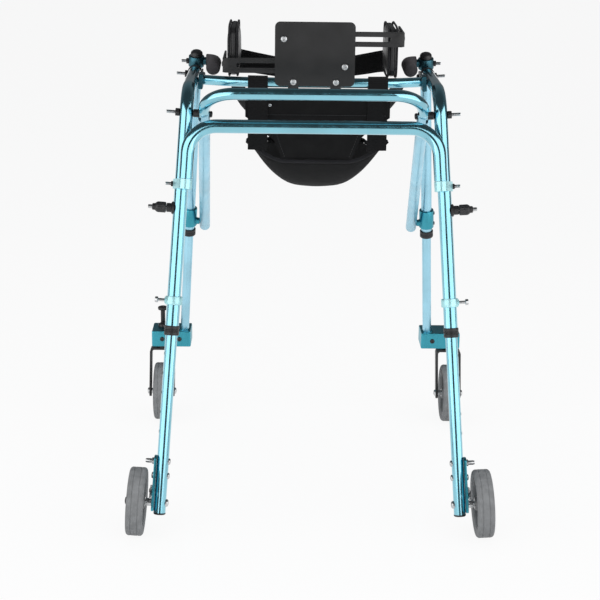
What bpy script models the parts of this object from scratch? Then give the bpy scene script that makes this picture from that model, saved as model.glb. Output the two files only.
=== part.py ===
"""A child's posterior walker: splayed tube frame, folding front legs, hip stabiliser and sling seat.

Metres, +Z up. The user faces +Y and the closed back of the frame is at -Y. X = 0 is the middle
plane, Y = 0 lies midway between the rear and front axles, and Z = 0 is the ground.
"""

import math

import bmesh
import bpy
from mathutils import Vector
from mathutils.geometry import convex_hull_2d

# Side frames: each lies in one plane that splays outwards towards the ground
FOOT_HALF = 0.2827
SPLAY = 0.0625
WHEELBASE = 0.589
REAR_LEAN = 0.268
FRONT_LEAN = 0.2272
RAIL_Z = 0.800
RAIL_BEND = 0.060
RAIL_FRONT_Y = 0.150

# Clearances
GAP = 0.0003
SLIDE_GAP = 0.0003
PIN_GAP = 0.0003

# Tubes
RAIL_R = 0.0127
REAR_LEG_R = 0.0111
TUBE_WALL = 0.0013
UPRIGHT_R = 0.0111
FRONT_LEG_R = 0.0095
BRACE_R = 0.0111
STABILIZER_R = 0.0095
TUBE_SIDES = 12
HOLE_SIDES = 8
BOLT_SIDES = 8
BOLT_HEAD_R = 0.006
BOLT_HEAD = 0.004
BOLT_STUD = 0.024
BOLT_STUD_R = 0.003
STEP = 0.0002
BEND_STEPS = 6

# Rear telescopes
RAIL_FOOT_Z = 0.387
LEG_TOP_Z = 0.700
LEG_FOOT_Z = 0.040
COLLAR_HEIGHT = 0.018
COLLAR_RISE = 0.0012
BUSH_HEIGHT = 0.007
CLIP_Z = 0.425
CLIP_HEIGHT = 0.016
CLIP_WALL = 0.0033
LEG_PIN_R = 0.003
LEG_PIN_LENGTH = 0.018
PLUNGER_Z = 0.590
PLUNGER_R = 0.010
PLUNGER_LENGTH = 0.034
PLUNGER_STEM_R = 0.0035
PLUNGER_STEM = 0.013
PLUNGER_BOSS = 0.012
PLUNGER_BOSS_R = 0.0085

# Rear hoops
LOWER_HOOP_Z = 0.735
LOWER_HOOP_BEND = 0.053
LOWER_HOOP_FOOT_Z = 0.642
HOOP_BEHIND = 0.0262
HOOP_INBOARD = 0.008
HOOP_CLAMP_HEIGHT = 0.018
UPPER_HOOP_REACH = 0.073
UPPER_HOOP_BEND = 0.058
UPPER_HOOP_START = 0.0135
HOOP_TONGUE_THICK = 0.003
HOOP_TONGUE_HALF = 0.0075
HOOP_TONGUE_FOOT = 0.008
HOOP_TONGUE_TOP = 0.022

# Fork fittings on the rails
FORK_ROOM = 0.0006
FORK_WEB = 0.005

# Rear wheels
WHEEL_R = 0.0635
WHEEL_WIDTH = 0.032
WHEEL_EDGE = 0.006
WHEEL_RIM_R = 0.047
WHEEL_SIDES = 20
HUB_SIDES = 16
HUB_R = 0.012
AXLE_R = 0.004
REAR_WHEEL_OUT = 0.0435
WHEEL_PLATE_TOP = 0.146
WHEEL_PLATE_FOOT = 0.046
WHEEL_PLATE_HALF = 0.013
WHEEL_PLATE_THICK = 0.0045
WHEEL_SCREW_ZS = (0.136, 0.110)
WHEEL_SCREW_HEADS = (0.016, 0.003)
PAWL_Z = 0.090
PAWL_THICK = 0.004

# Fold joint, upright and handle
FOLD_Y = 0.178
FOLD_Z = 0.790
UPRIGHT_TOP_Z = 0.831
UPRIGHT_FOOT_Z = 0.450
CAP_HEIGHT = 0.010
FORK_CHEEK = 0.003
FORK_EYE_R = 0.0125
FOLD_BOLT_R = 0.003
HANDLE_CLAMP_Z = 0.818
HANDLE_CLAMP_HEIGHT = 0.022
HANDLE_CLAMP_WALL = 0.004
HANDLE_CLAMP_ROOM = 0.0007
HANDLE_TUBE_R = 0.008
GRIP_R = 0.014
GRIP_REACH = 0.023
GRIP_BACK = 0.078
GRIP_BEND = 0.016

# Front legs
FRONT_LEG_TOP_Z = 0.590
FRONT_COLLAR_HEIGHT = 0.015
BRACE_COLLAR_Z = 0.4775
BRACE_COLLAR_HEIGHT = 0.041
BRACE_COLLAR_WALL = 0.004

# Brace
BRACE_INBOARD = 0.033
BRACE_TOP_Z = 0.7605
BRACE_FOOT_Z = 0.462
BRACE_OVERRUN = 0.010
BRACE_EYE_RISE = 0.011
BRACE_SEAT_R = 0.0163
BRACE_SPACER_R = 0.0075
BRACE_STUD_R = 0.007
BRACE_STUD_RISE = 0.006

# Casters
CASTER_OUTBOARD = 0.0383
CASTER_X = FOOT_HALF + CASTER_OUTBOARD
CASTER_TRAIL = 0.035
SOCKET_DEPTH = 0.026
CASTER_BLOCK_FOOT = 0.168
CASTER_BLOCK_TOP = 0.204
CASTER_BLOCK_HALF_Y = 0.019
CASTER_BLOCK_INBOARD = 0.0267
CASTER_BLOCK_INNER_X = FOOT_HALF - CASTER_BLOCK_INBOARD
CASTER_BLOCK_REACH = 0.021
CASTER_BLOCK_OUTER_X = CASTER_X + CASTER_BLOCK_REACH
FORK_TOP_Z = 0.157
FORK_PLATE = 0.005
FORK_WIDTH = 0.056
FORK_ARM_HALF = 0.011
STEM_R = 0.006
LOCK_Y_OFFSET = 0.018
LOCK_PIN_R = 0.003
LOCK_BARREL_R = 0.005
LOCK_HEAD_R = 0.011
LOCK_TOP_Z = 0.245
LOCK_HEAD = 0.007

# Hip stabiliser
STABILIZER_Z = 0.801
STABILIZER_Y = 0.005
STABILIZER_BOW = 0.028
BAR_CLAMP_X = 0.009
BAR_CLAMP_Y = 0.034
BAR_CLAMP_Z = 0.029
PLATE_X = 0.003
PLATE_WIDTH = 0.152
PLATE_HEIGHT = 0.121
PLATE_FOOT_Z = 0.797
PLATE_THICK = 0.004
PLATE_Y = -0.012
UPPER_SLIDE_Z = 0.886
LOWER_SLIDE_Z = 0.8345
SLIDE_THICK = 0.005
SCREW_R = 0.003
SCREW_HEAD_R = 0.006
BRACKET_HALF_X = 0.0405
BRACKET_SCREW_Z = 0.805
SADDLE_WIDTH = 0.020
PLATE_SCREWS = ((-0.059, UPPER_SLIDE_Z), (0.057, LOWER_SLIDE_Z),
                (-BRACKET_HALF_X, BRACKET_SCREW_Z), (BRACKET_HALF_X, BRACKET_SCREW_Z))
SLIDE_HEIGHT = 0.028
SLIDE_SLOT = 0.0095
SLOT_MARGIN = 0.007
SLOT_OUTER_MARGIN = 0.026
PAD_INSET = 0.1107
SLIDE_REACH = FOOT_HALF - PAD_INSET
SLIDE_OVERLAP = 0.073
PAD_WALL = 0.004
PAD_WALL_LENGTH = 0.110
PAD_THICK = 0.030
PAD_HEIGHT = 0.106
PAD_START = 0.026
PAD_PINCH = 0.03
PAD_LENGTH = 0.152
PAD_EASE = 0.30
PAD_Z = 0.856
BELT_HEIGHT = 0.044
BELT_TAPER = 0.008
BELT_THICK = 0.004
BELT_INNER_X = -0.024
BELT_LAP_GAP = 0.001
BELT_BULGE = 0.010
BELT_TURN = 0.15
BELT_DROP = 0.033
BELT_SAG = 0.022

# Sling seat
HARNESS_X = 0.010
STRAP_WIDTH = 0.038
STRAP_THICK = 0.002
STRAP_ROOM = 0.0012
STRAP_HALF_SPACING = 0.115
STRAP_FOOT_Z = 0.672
STRAP_FRONT_Z = 0.775
STRAP_BEND_DROP = 0.020
PANEL_WIDTH = 0.278
PANEL_TOP_Z = 0.776
PANEL_FOOT_Z = 0.734
PANEL_THICK = 0.004
PANEL_BULGE = 0.005
TONGUE_TOP_WIDTH = 0.200
TONGUE_FOOT_WIDTH = 0.136
TONGUE_LEAN = 0.014
SLING_THICK = 0.010
SLING_RIM = 0.45
SLING_RIM_WIDTH = 0.12
SLING_BACK_STEP = 0.013
SLING_BACK_DROP = 0.0046
SLING_HEEL_Z = 0.590
SLING_HEEL_Y = 0.006
SLING_DIP_Z = 0.556
SLING_DIP_Y = 0.075
SLING_FRONT_Y = 0.170
SLING_FRONT_Z = 0.660
SLING_WIDTH = 0.276
SLING_TAPER = 0.30
SLING_CUP = 0.080
SLING_REAR_CUP = 0.038
SLING_REAR_FLAT = 0.45
FRONT_STRAP_SPACING = 0.155
FRONT_STRAP_START = 0.80
FRONT_STRAP_BOW = 0.016
FRONT_STRAP_STEP = 0.0056
FRONT_STRAP_RISE = -0.005
TONGUE_FOOT_Z = 0.652

SIDES = (("left", -1), ("right", 1))


# Materials

def material(name, colour, roughness, metallic):
    """Makes one plain finish."""
    finish = bpy.data.materials.new(name)
    finish.use_nodes = True
    shader = finish.node_tree.nodes["Principled BSDF"]
    shader.inputs["Base Color"].default_value = (*colour, 1)
    shader.inputs["Roughness"].default_value = roughness
    shader.inputs["Metallic"].default_value = metallic
    finish.diffuse_color = (*colour, 1)
    return finish


# Places on the leaning side frames

def outward(side):
    """The direction square to a side frame's plane, away from the user."""
    return Vector((side, 0, SPLAY)).normalized()


def side_point(side, y, z, out=0.0):
    """A point of the side plane at y and z, moved out square to the plane."""
    return Vector((side * (FOOT_HALF - z * SPLAY), y, z)) + outward(side) * out


def rear_point(side, z, out=0.0):
    """A point beside the rear leg's axis at the height z."""
    return side_point(side, -WHEELBASE / 2 + (z - WHEEL_R) * REAR_LEAN, z, out)


def front_point(side, z, out=0.0):
    """A point beside the upright's axis at the height z."""
    return side_point(side, FOLD_Y + (FOLD_Z - z) * FRONT_LEAN, z, out)


def direction(start, end):
    return (end - start).normalized()


def rear_up(side):
    return direction(rear_point(side, 0), rear_point(side, 1))


def front_up(side):
    return direction(front_point(side, 0), front_point(side, 1))


def behind(side):
    """The direction in the side plane square to the rear leg, towards the back."""
    turned_way = outward(side).cross(rear_up(side)).normalized()
    if turned_way.y > 0:
        turned_way.negate()
    return turned_way


# Mesh helpers

def across(axis):
    """A direction square to an axis, as near to straight down as it can be."""
    start = Vector((0, 0, -1))
    if abs(axis.dot(start)) > 0.9:
        start = Vector((0, -1, 0))
    return (start - axis * start.dot(axis)).normalized()


def circle(bm, centre, first, second, radius, sides):
    ring = []
    for step in range(sides):
        angle = 2 * math.pi * step / sides
        offset = first * math.cos(angle) + second * math.sin(angle)
        ring.append(bm.verts.new(centre + offset * radius))
    return ring


def join_rings(bm, one, two):
    count = len(one)
    for step in range(count):
        after = (step + 1) % count
        bm.faces.new((one[step], one[after], two[after], two[step]))


def carried_frames(path):
    """Carries one crosswise direction along a path without twisting it."""
    frames = []
    cross = None
    for index, point in enumerate(path):
        tangent = Vector((0, 0, 0))
        if index > 0:
            tangent += direction(path[index - 1], point)
        if index < len(path) - 1:
            tangent += direction(point, path[index + 1])
        tangent.normalize()
        if cross is None:
            cross = across(tangent)
        cross = (cross - tangent * cross.dot(tangent)).normalized()
        frames.append((cross, tangent.cross(cross)))
    return frames


def swept(bm, path, radius, sides=TUBE_SIDES, bore=0.0, bore_path=None):
    """A round bar along a path; a bore runs from its first point along bore_path."""
    radii = radius if isinstance(radius, list) else [radius] * len(path)
    rings = []
    for point, (first, second), size in zip(path, carried_frames(path), radii):
        rings.append(circle(bm, point, first, second, size, sides))
    for one, two in zip(rings, rings[1:]):
        join_rings(bm, one, two)
    bm.faces.new(rings[-1])
    if not bore:
        bm.faces.new(rings[0])
        return
    inner = []
    for point, (first, second) in zip(bore_path, carried_frames(bore_path)):
        inner.append(circle(bm, point, first, second, bore, sides))
    join_rings(bm, rings[0], inner[0])
    for one, two in zip(inner, inner[1:]):
        join_rings(bm, one, two)
    bm.faces.new(inner[-1])


def turned(bm, centre, axis, profile, sides=20, hollow=False):
    """Turns a profile of (radius, distance along the axis) round an axis."""
    axis = axis.normalized()
    first = across(axis)
    second = axis.cross(first)
    rings = []
    for radius, along in profile:
        rings.append(circle(bm, centre + axis * along, first, second, radius, sides))
    for one, two in zip(rings, rings[1:]):
        join_rings(bm, one, two)
    if hollow:
        join_rings(bm, rings[-1], rings[0])
    else:
        bm.faces.new(rings[0])
        bm.faces.new(rings[-1])


def rod(bm, start, end, radius, sides=12):
    turned(bm, start, end - start, [(radius, 0), (radius, (end - start).length)], sides)


def sleeve(bm, centre, axis, inner, outer, height, sides=TUBE_SIDES):
    """A ring of square section, centred on a point of its axis."""
    half = height / 2
    profile = [(inner, -half), (outer, -half), (outer, half), (inner, half)]
    turned(bm, centre, axis, profile, sides, hollow=True)


def block(bm, centre, x_axis, y_axis, size, bevel=0.0):
    """A box turned to two axes, with its edges eased."""
    z_axis = x_axis.cross(y_axis)
    made = bmesh.ops.create_cube(bm, size=1)["verts"]
    for vert in made:
        local = vert.co.copy()
        vert.co = (centre + x_axis * local.x * size[0] + y_axis * local.y * size[1]
                   + z_axis * local.z * size[2])
    if bevel:
        edges = {edge for vert in made for edge in vert.link_edges}
        bmesh.ops.bevel(bm, geom=list(edges), offset=bevel, segments=1, affect="EDGES")


def plate(bm, origin, u_axis, v_axis, outline, holes, thickness):
    """A flat plate cut to an outline with holes, thickened both ways from its middle."""
    face_normal = u_axis.cross(v_axis).normalized()
    edges = []
    for loop in [outline, *holes]:
        verts = []
        for u, v in loop:
            verts.append(bm.verts.new(origin + u_axis * u + v_axis * v
                                      - face_normal * thickness / 2))
        for index, vert in enumerate(verts):
            edges.append(bm.edges.new((vert, verts[(index + 1) % len(verts)])))
    filled = bmesh.ops.triangle_fill(bm, use_beauty=True, use_dissolve=False, edges=edges)
    faces = [item for item in filled["geom"] if isinstance(item, bmesh.types.BMFace)]
    grown = bmesh.ops.extrude_face_region(bm, geom=faces)["geom"]
    for item in grown:
        if isinstance(item, bmesh.types.BMVert):
            item.co += face_normal * thickness


def rounded_rectangle(centre_u, centre_v, width, height, radius, steps=4):
    """An outline with round corners."""
    points = []
    for corner in range(4):
        sign_u = (1, -1, -1, 1)[corner]
        sign_v = (1, 1, -1, -1)[corner]
        for step in range(steps + 1):
            angle = math.pi / 2 * (corner + step / steps)
            points.append((centre_u + sign_u * (width / 2 - radius) + radius * math.cos(angle),
                           centre_v + sign_v * (height / 2 - radius) + radius * math.sin(angle)))
    return points


def slab(bm, surface, u_steps, v_steps, thickness):
    """A closed sheet of even or changing thickness round a surface of u and v in 0 to 1."""
    def middle(u, v):
        return Vector(surface(u, v))

    def normal(u, v):
        step = 0.001
        along_u = middle(min(u + step, 1), v) - middle(max(u - step, 0), v)
        along_v = middle(u, min(v + step, 1)) - middle(u, max(v - step, 0))
        return along_u.cross(along_v).normalized()

    layers = []
    for sign in (1, -1):
        grid = []
        for i in range(u_steps + 1):
            row = []
            for j in range(v_steps + 1):
                u = i / u_steps
                v = j / v_steps
                depth = thickness(u, v) if callable(thickness) else thickness
                row.append(bm.verts.new(middle(u, v) + normal(u, v) * sign * depth / 2))
            grid.append(row)
        layers.append(grid)
    for grid in layers:
        for i in range(u_steps):
            for j in range(v_steps):
                bm.faces.new((grid[i][j], grid[i + 1][j], grid[i + 1][j + 1], grid[i][j + 1]))
    top, foot = layers
    for i in range(u_steps):
        for j in (0, v_steps):
            bm.faces.new((top[i][j], top[i + 1][j], foot[i + 1][j], foot[i][j]))
    for j in range(v_steps):
        for i in (0, u_steps):
            bm.faces.new((top[i][j], top[i][j + 1], foot[i][j + 1], foot[i][j]))


def round_hole(centre_u, centre_v, radius, sides=12):
    """A round outline of a flat plate."""
    points = []
    for step in range(sides):
        angle = 2 * math.pi * step / sides
        points.append((centre_u + radius * math.cos(angle), centre_v + radius * math.sin(angle)))
    return points


def bent_path(corners, bends, steps=BEND_STEPS):
    """Straight runs through corner points, each corner rounded to its bend radius."""
    path = [corners[0]]
    for before, corner, after, bend in zip(corners, corners[1:], corners[2:], bends):
        back = direction(corner, before)
        ahead = direction(corner, after)
        half = back.angle(ahead) / 2
        reach = bend / math.tan(half)
        centre = corner + (back + ahead).normalized() * bend / math.sin(half)
        start = corner + back * reach - centre
        end = corner + ahead * reach - centre
        sweep = start.angle(end)
        for step in range(steps + 1):
            share = step / steps
            offset = (start * math.sin((1 - share) * sweep)
                      + end * math.sin(share * sweep)) / math.sin(sweep)
            path.append(centre + offset)
    path.append(corners[-1])
    return path


# Objects

PLACES = {}


def empty(name, place, parent=None):
    """An unseen axis that pieces hang from."""
    axis = bpy.data.objects.new(name, None)
    bpy.context.collection.objects.link(axis)
    axis.empty_display_size = 0.02
    PLACES[name] = place.copy()
    axis.location = place - (PLACES[parent] if parent else Vector((0, 0, 0)))
    if parent:
        axis.parent = bpy.data.objects[parent]
    return name


def piece(name, bm, finish, parent=None, smooth=35):
    """Closes a mesh into a named object whose origin lies on its parent's axis."""
    origin = PLACES[parent] if parent else Vector((0, 0, 0))
    bmesh.ops.translate(bm, verts=bm.verts, vec=-origin)
    bmesh.ops.recalc_face_normals(bm, faces=bm.faces)
    mesh = bpy.data.meshes.new(name)
    bm.to_mesh(mesh)
    bm.free()
    mesh.shade_smooth()
    mesh.set_sharp_from_angle(angle=math.radians(smooth))
    made = bpy.data.objects.new(name, mesh)
    bpy.context.collection.objects.link(made)
    made.data.materials.append(FINISHES[finish])
    if parent:
        made.parent = bpy.data.objects[parent]
    return made


def helper(bm):
    """An unseen solid that another piece is cut by or joined with."""
    bmesh.ops.recalc_face_normals(bm, faces=bm.faces)
    mesh = bpy.data.meshes.new("helper")
    bm.to_mesh(mesh)
    bm.free()
    made = bpy.data.objects.new("helper", mesh)
    bpy.context.collection.objects.link(made)
    made.hide_render = True
    made.display_type = "WIRE"
    return made


def combine(target, operation, bm):
    """Adds a Boolean of one kind between a piece and a helper."""
    change = target.modifiers.new(operation.lower(), "BOOLEAN")
    change.operation = operation
    change.solver = "EXACT"
    change.object = helper(bm)


def drill(target, start, end, radius, sides=HOLE_SIDES):
    """Bores a straight round hole through a piece."""
    bm = bmesh.new()
    rod(bm, start, end, radius, sides)
    combine(target, "DIFFERENCE", bm)


def fuse(target, bm):
    """Joins a solid to a piece that it reaches into."""
    combine(target, "UNION", bm)


def bolt(bm, start, end, radius, head_radius, head, nut=True):
    """A bolt from start to end with a head past the start and a nut past the end."""
    length = (end - start).length
    profile = [(head_radius, -head), (head_radius, 0), (radius, 0)]
    if nut:
        profile += [(radius, length), (head_radius, length), (head_radius, length + head)]
    else:
        profile += [(radius, length)]
    turned(bm, start, end - start, profile, BOLT_SIDES)


# Fixed frame

def rail_path(side):
    """The line of the rear leg's outer tube and the side rail that it bends into."""
    corners = [rear_point(side, RAIL_FOOT_Z), rear_point(side, RAIL_Z),
               side_point(side, RAIL_FRONT_Y, RAIL_Z)]
    return bent_path(corners, [RAIL_BEND])


def side_rail(name, side):
    """The rear leg's outer tube, bent forwards into the side rail, with its end fittings."""
    up = rear_up(side)
    out = outward(side)
    foot = rear_point(side, RAIL_FOOT_Z)
    collar_foot = foot - up * (COLLAR_HEIGHT + BUSH_HEIGHT)
    collar_top = foot - up * BUSH_HEIGHT
    path = [collar_foot, collar_top, collar_top + up * STEP, *rail_path(side)]
    radii = [RAIL_R + COLLAR_RISE] * 2 + [RAIL_R] * (len(path) - 2)
    bm = bmesh.new()
    bore = REAR_LEG_R + SLIDE_GAP
    bore_end = rear_point(side, LEG_TOP_Z + 0.002)
    swept(bm, path, radii, bore=bore, bore_path=[collar_foot, bore_end])
    made = piece("side_rail_" + name, bm, "tube")
    fuse(made, fork_shape(side))
    at = rear_point(side, PLUNGER_Z)
    bm = bmesh.new()
    rod(bm, at + out * (RAIL_R - 0.001), at + out * (RAIL_R + PLUNGER_BOSS), PLUNGER_BOSS_R, 12)
    fuse(made, bm)
    inside = REAR_LEG_R - 0.004
    drill(made, rear_point(side, CLIP_Z, inside), rear_point(side, CLIP_Z, 0.02),
          LEG_PIN_R + PIN_GAP)
    drill(made, at + out * inside, at + out * (RAIL_R + PLUNGER_BOSS + 0.01),
          LEG_PIN_R + PIN_GAP)
    for at in (rear_point(side, BRACE_TOP_Z), front_point(side, FOLD_Z)):
        drill(made, at - out * 0.025, at + out * 0.025, FOLD_BOLT_R + PIN_GAP)


def hoop_foot(side, z):
    """A point on the lower hoop's leg, which runs behind the rear leg."""
    return rear_point(side, z, -HOOP_INBOARD) + behind(side) * HOOP_BEHIND


def lower_crossbar():
    """The lower rear hoop: a crossbar bent down into two short legs."""
    left = hoop_foot(-1, LOWER_HOOP_FOOT_Z)
    right = hoop_foot(1, LOWER_HOOP_FOOT_Z)
    corners = [left, hoop_foot(-1, LOWER_HOOP_Z), hoop_foot(1, LOWER_HOOP_Z), right]
    bm = bmesh.new()
    swept(bm, bent_path(corners, [LOWER_HOOP_BEND] * 2), RAIL_R)
    piece("lower_crossbar", bm, "tube")


def brace_line(side):
    """The brace's top, at its bolt, and the direction from its foot up to there."""
    top = rear_point(side, BRACE_TOP_Z, -BRACE_INBOARD)
    foot = front_point(side, BRACE_FOOT_Z, -BRACE_INBOARD)
    return top, direction(foot, top)


def upper_crossbar():
    """The upper rear hoop, which runs on from the braces and hangs on their bolts by tongues."""
    corners = []
    for side in (-1, 1):
        top, up = brace_line(side)
        ends = [top + up * UPPER_HOOP_START, top + up * UPPER_HOOP_REACH]
        corners += ends if side < 0 else ends[::-1]
    bm = bmesh.new()
    swept(bm, bent_path(corners, [UPPER_HOOP_BEND] * 2), BRACE_R)
    made = piece("upper_crossbar", bm, "tube")
    for side in (-1, 1):
        top, up = brace_line(side)
        out = outward(side)
        cross = out.cross(up).normalized()
        height = HOOP_TONGUE_FOOT + HOOP_TONGUE_TOP
        rise = (HOOP_TONGUE_TOP - HOOP_TONGUE_FOOT) / 2
        outline = rounded_rectangle(0, rise, 2 * HOOP_TONGUE_HALF, height, 0.0065, 3)
        offset = BRACE_INBOARD - tongue_outer() - HOOP_TONGUE_THICK / 2
        bm = bmesh.new()
        plate(bm, top + out * offset, cross, up, outline, [], HOOP_TONGUE_THICK)
        fuse(made, bm)
        drill(made, top - out * 0.02, top + out * 0.02, FOLD_BOLT_R + PIN_GAP)


def tongue_outer():
    """How far inboard of the rail's axis the hoop's tongue begins."""
    return BRACE_INBOARD - BRACE_R + HOOP_TONGUE_THICK


def hoop_clamp(name, side):
    """A two-lobed clamp round the rear leg, which carries the lower hoop's leg."""
    bm = bmesh.new()
    z = LOWER_HOOP_FOOT_Z - HOOP_CLAMP_HEIGHT / 2 - GAP
    ring = round_hole(0, 0, RAIL_R + CLIP_WALL, 20)
    lobe = round_hole(-HOOP_INBOARD, HOOP_BEHIND, RAIL_R, 20)
    points = ring + lobe
    outline = [points[index] for index in convex_hull_2d([Vector(p) for p in points])]
    bore = round_hole(0, 0, RAIL_R + 2 * GAP, 20)
    plate(bm, rear_point(side, z), outward(side), behind(side), outline, [bore],
          HOOP_CLAMP_HEIGHT)
    piece("hoop_clamp_" + name, bm, "ring")


def leg_clip(name, side):
    """A snap ring round the outer tube, bored for its pin."""
    bm = bmesh.new()
    sleeve(bm, rear_point(side, CLIP_Z), rear_up(side), RAIL_R + GAP, RAIL_R + CLIP_WALL,
           CLIP_HEIGHT)
    made = piece("leg_clip_" + name, bm, "ring")
    drill(made, rear_point(side, CLIP_Z, 0.008), rear_point(side, CLIP_Z, 0.02),
          LEG_PIN_R + PIN_GAP)


def fork_shape(side):
    """The two-cheeked fitting on the rail's front end that holds the upright."""
    bm = bmesh.new()
    inner = UPRIGHT_R + FORK_ROOM
    outer = inner + FORK_CHEEK
    back = RAIL_FRONT_Y - 0.002
    web = RAIL_FRONT_Y + FORK_WEB
    front = FOLD_Y + FORK_EYE_R
    outline = [(-outer, back), (outer, back), (outer, front), (inner, front),
               (inner, web), (-inner, web), (-inner, front), (-outer, front)]
    plate(bm, side_point(side, 0, FOLD_Z), outward(side), Vector((0, 1, 0)), outline, [],
          2 * FORK_EYE_R)
    return bm


def fold_bolt(name, side):
    """The bolt that the upright folds on."""
    bm = bmesh.new()
    at = front_point(side, FOLD_Z)
    reach = outward(side) * (UPRIGHT_R + FORK_ROOM + FORK_CHEEK + GAP)
    bolt(bm, at + reach, at - reach, FOLD_BOLT_R, BOLT_HEAD_R, BOLT_HEAD)
    made = piece("fold_bolt_" + name, bm, "black")
    bm = bmesh.new()
    rod(bm, at + reach + outward(side) * BOLT_HEAD / 2, at + reach + outward(side) * BOLT_STUD,
        BOLT_STUD_R)
    fuse(made, bm)


def brace_bolt(name, side):
    """The bolt through the rail that spaces and holds the hoop's tongue and the brace's eye."""
    bm = bmesh.new()
    out = outward(side)
    seat = 2 * RAIL_R + 2 * GAP
    tongue = RAIL_R + tongue_outer()
    length = RAIL_R + BRACE_INBOARD + BRACE_R + 2 * GAP
    profile = [(BOLT_STUD_R, -BOLT_STUD), (BOLT_STUD_R, -BOLT_HEAD), (BOLT_HEAD_R, -BOLT_HEAD),
               (BOLT_HEAD_R, 0), (FOLD_BOLT_R, 0), (FOLD_BOLT_R, seat),
               (BRACE_SPACER_R, seat), (BRACE_SPACER_R, tongue), (FOLD_BOLT_R, tongue),
               (FOLD_BOLT_R, length), (BOLT_HEAD_R, length), (BOLT_HEAD_R, length + BOLT_HEAD)]
    turned(bm, rear_point(side, BRACE_TOP_Z, RAIL_R + GAP), -out, profile, BOLT_SIDES)
    piece("brace_bolt_" + name, bm, "black")


def stabilizer_middle(share):
    """A point of the stabiliser bar: share runs from -1 on the left to 1 on the right."""
    half = FOOT_HALF - RAIL_Z * SPLAY - RAIL_R - 2 * GAP - BAR_CLAMP_X * 0.6
    return Vector((share * half, STABILIZER_Y + STABILIZER_BOW * share ** 4, STABILIZER_Z))


def stabilizer_bar():
    """The slim third bar between the rails, bowed to the back, with a clamp block at each end."""
    path = [stabilizer_middle(-1 + 2 * step / 16) for step in range(17)]
    bm = bmesh.new()
    swept(bm, path, STABILIZER_R)
    made = piece("stabilizer_bar", bm, "tube")
    for _, side in SIDES:
        end = stabilizer_middle(side)
        centre = side_point(side, end.y, RAIL_Z, -RAIL_R - GAP - BAR_CLAMP_X / 2)
        bm = bmesh.new()
        block(bm, centre, outward(side), Vector((0, 1, 0)),
              (BAR_CLAMP_X, BAR_CLAMP_Y, BAR_CLAMP_Z))
        fuse(made, bm)


def plate_row(z):
    return Vector((PLATE_X, PLATE_Y, z))


def stabilizer_plate():
    """The stabiliser's black back plate, with its screws and the saddles that grip the bar."""
    bm = bmesh.new()
    middle = plate_row(PLATE_FOOT_Z + PLATE_HEIGHT / 2)
    outline = rounded_rectangle(0, 0, PLATE_WIDTH, PLATE_HEIGHT, 0.010)
    across_plate = Vector((1, 0, 0))
    up = Vector((0, 0, 1))
    plate(bm, middle, across_plate, up, outline, [], PLATE_THICK)
    made = piece("stabilizer_plate", bm, "black")
    depth = Vector((0, 1, 0))
    front = PLATE_Y - PLATE_THICK / 2
    slide_room = PLATE_THICK + 2 * GAP + SLIDE_THICK + 0.001
    for x, z in PLATE_SCREWS:
        bm = bmesh.new()
        at = Vector((PLATE_X + x, front, z))
        if z > BRACKET_SCREW_Z:
            profile = [(SCREW_HEAD_R, -0.003), (SCREW_HEAD_R, 0.001), (SCREW_R, 0.001),
                       (SCREW_R, slide_room), (SCREW_HEAD_R, slide_room),
                       (SCREW_HEAD_R, slide_room + 0.003)]
        else:
            profile = [(SCREW_HEAD_R, -0.003), (SCREW_HEAD_R, 0.001)]
        turned(bm, at, depth, profile, BOLT_SIDES)
        fuse(made, bm)
    saddle_back = STABILIZER_Y + STABILIZER_R + 0.006
    outline = [(PLATE_Y, STABILIZER_Z - 0.014), (saddle_back, STABILIZER_Z - 0.014),
               (saddle_back, STABILIZER_Z + 0.013), (PLATE_Y, STABILIZER_Z + 0.0165)]
    for sign in (-1, 1):
        bm = bmesh.new()
        x = PLATE_X + sign * BRACKET_HALF_X
        plate(bm, Vector((x, 0, 0)), depth, up, outline, [], SADDLE_WIDTH)
        fuse(made, bm)
        reach = Vector((SADDLE_WIDTH, 0, 0))
        bar = Vector((x, STABILIZER_Y, STABILIZER_Z))
        drill(made, bar - reach, bar + reach, STABILIZER_R + 2 * GAP, TUBE_SIDES)


# Rear legs and wheels

def rear_axle(side, out=0.0):
    """A point on the rear axle's line, set so that the cambered tyre just meets the ground."""
    tilt = math.atan(SPLAY)
    centre_z = (WHEEL_EDGE + (WHEEL_R - WHEEL_EDGE) * math.cos(tilt)
                + (WHEEL_WIDTH / 2 - WHEEL_EDGE) * math.sin(tilt))
    leg_z = centre_z - REAR_WHEEL_OUT * outward(1).z
    return rear_point(side, leg_z, out)


def rear_leg(name, side, axis):
    """The inner leg tube that telescopes out of the side rail."""
    bm = bmesh.new()
    foot = rear_point(side, LEG_FOOT_Z)
    top = rear_point(side, LEG_TOP_Z)
    bore_end = rear_point(side, LEG_TOP_Z - 0.003)
    swept(bm, [foot, top], REAR_LEG_R, bore=REAR_LEG_R - TUBE_WALL, bore_path=[foot, bore_end])
    made = piece("rear_leg_" + name, bm, "tube", axis)
    out = outward(side)
    for z in WHEEL_SCREW_ZS:
        at = rear_point(side, z)
        drill(made, at - out * 0.02, at + out * 0.02, SCREW_R + PIN_GAP)
    at = rear_axle(side)
    drill(made, at - out * 0.02, at + out * 0.02, AXLE_R + PIN_GAP)


def leg_plate_middle():
    return REAR_LEG_R + GAP + WHEEL_PLATE_THICK / 2


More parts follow.
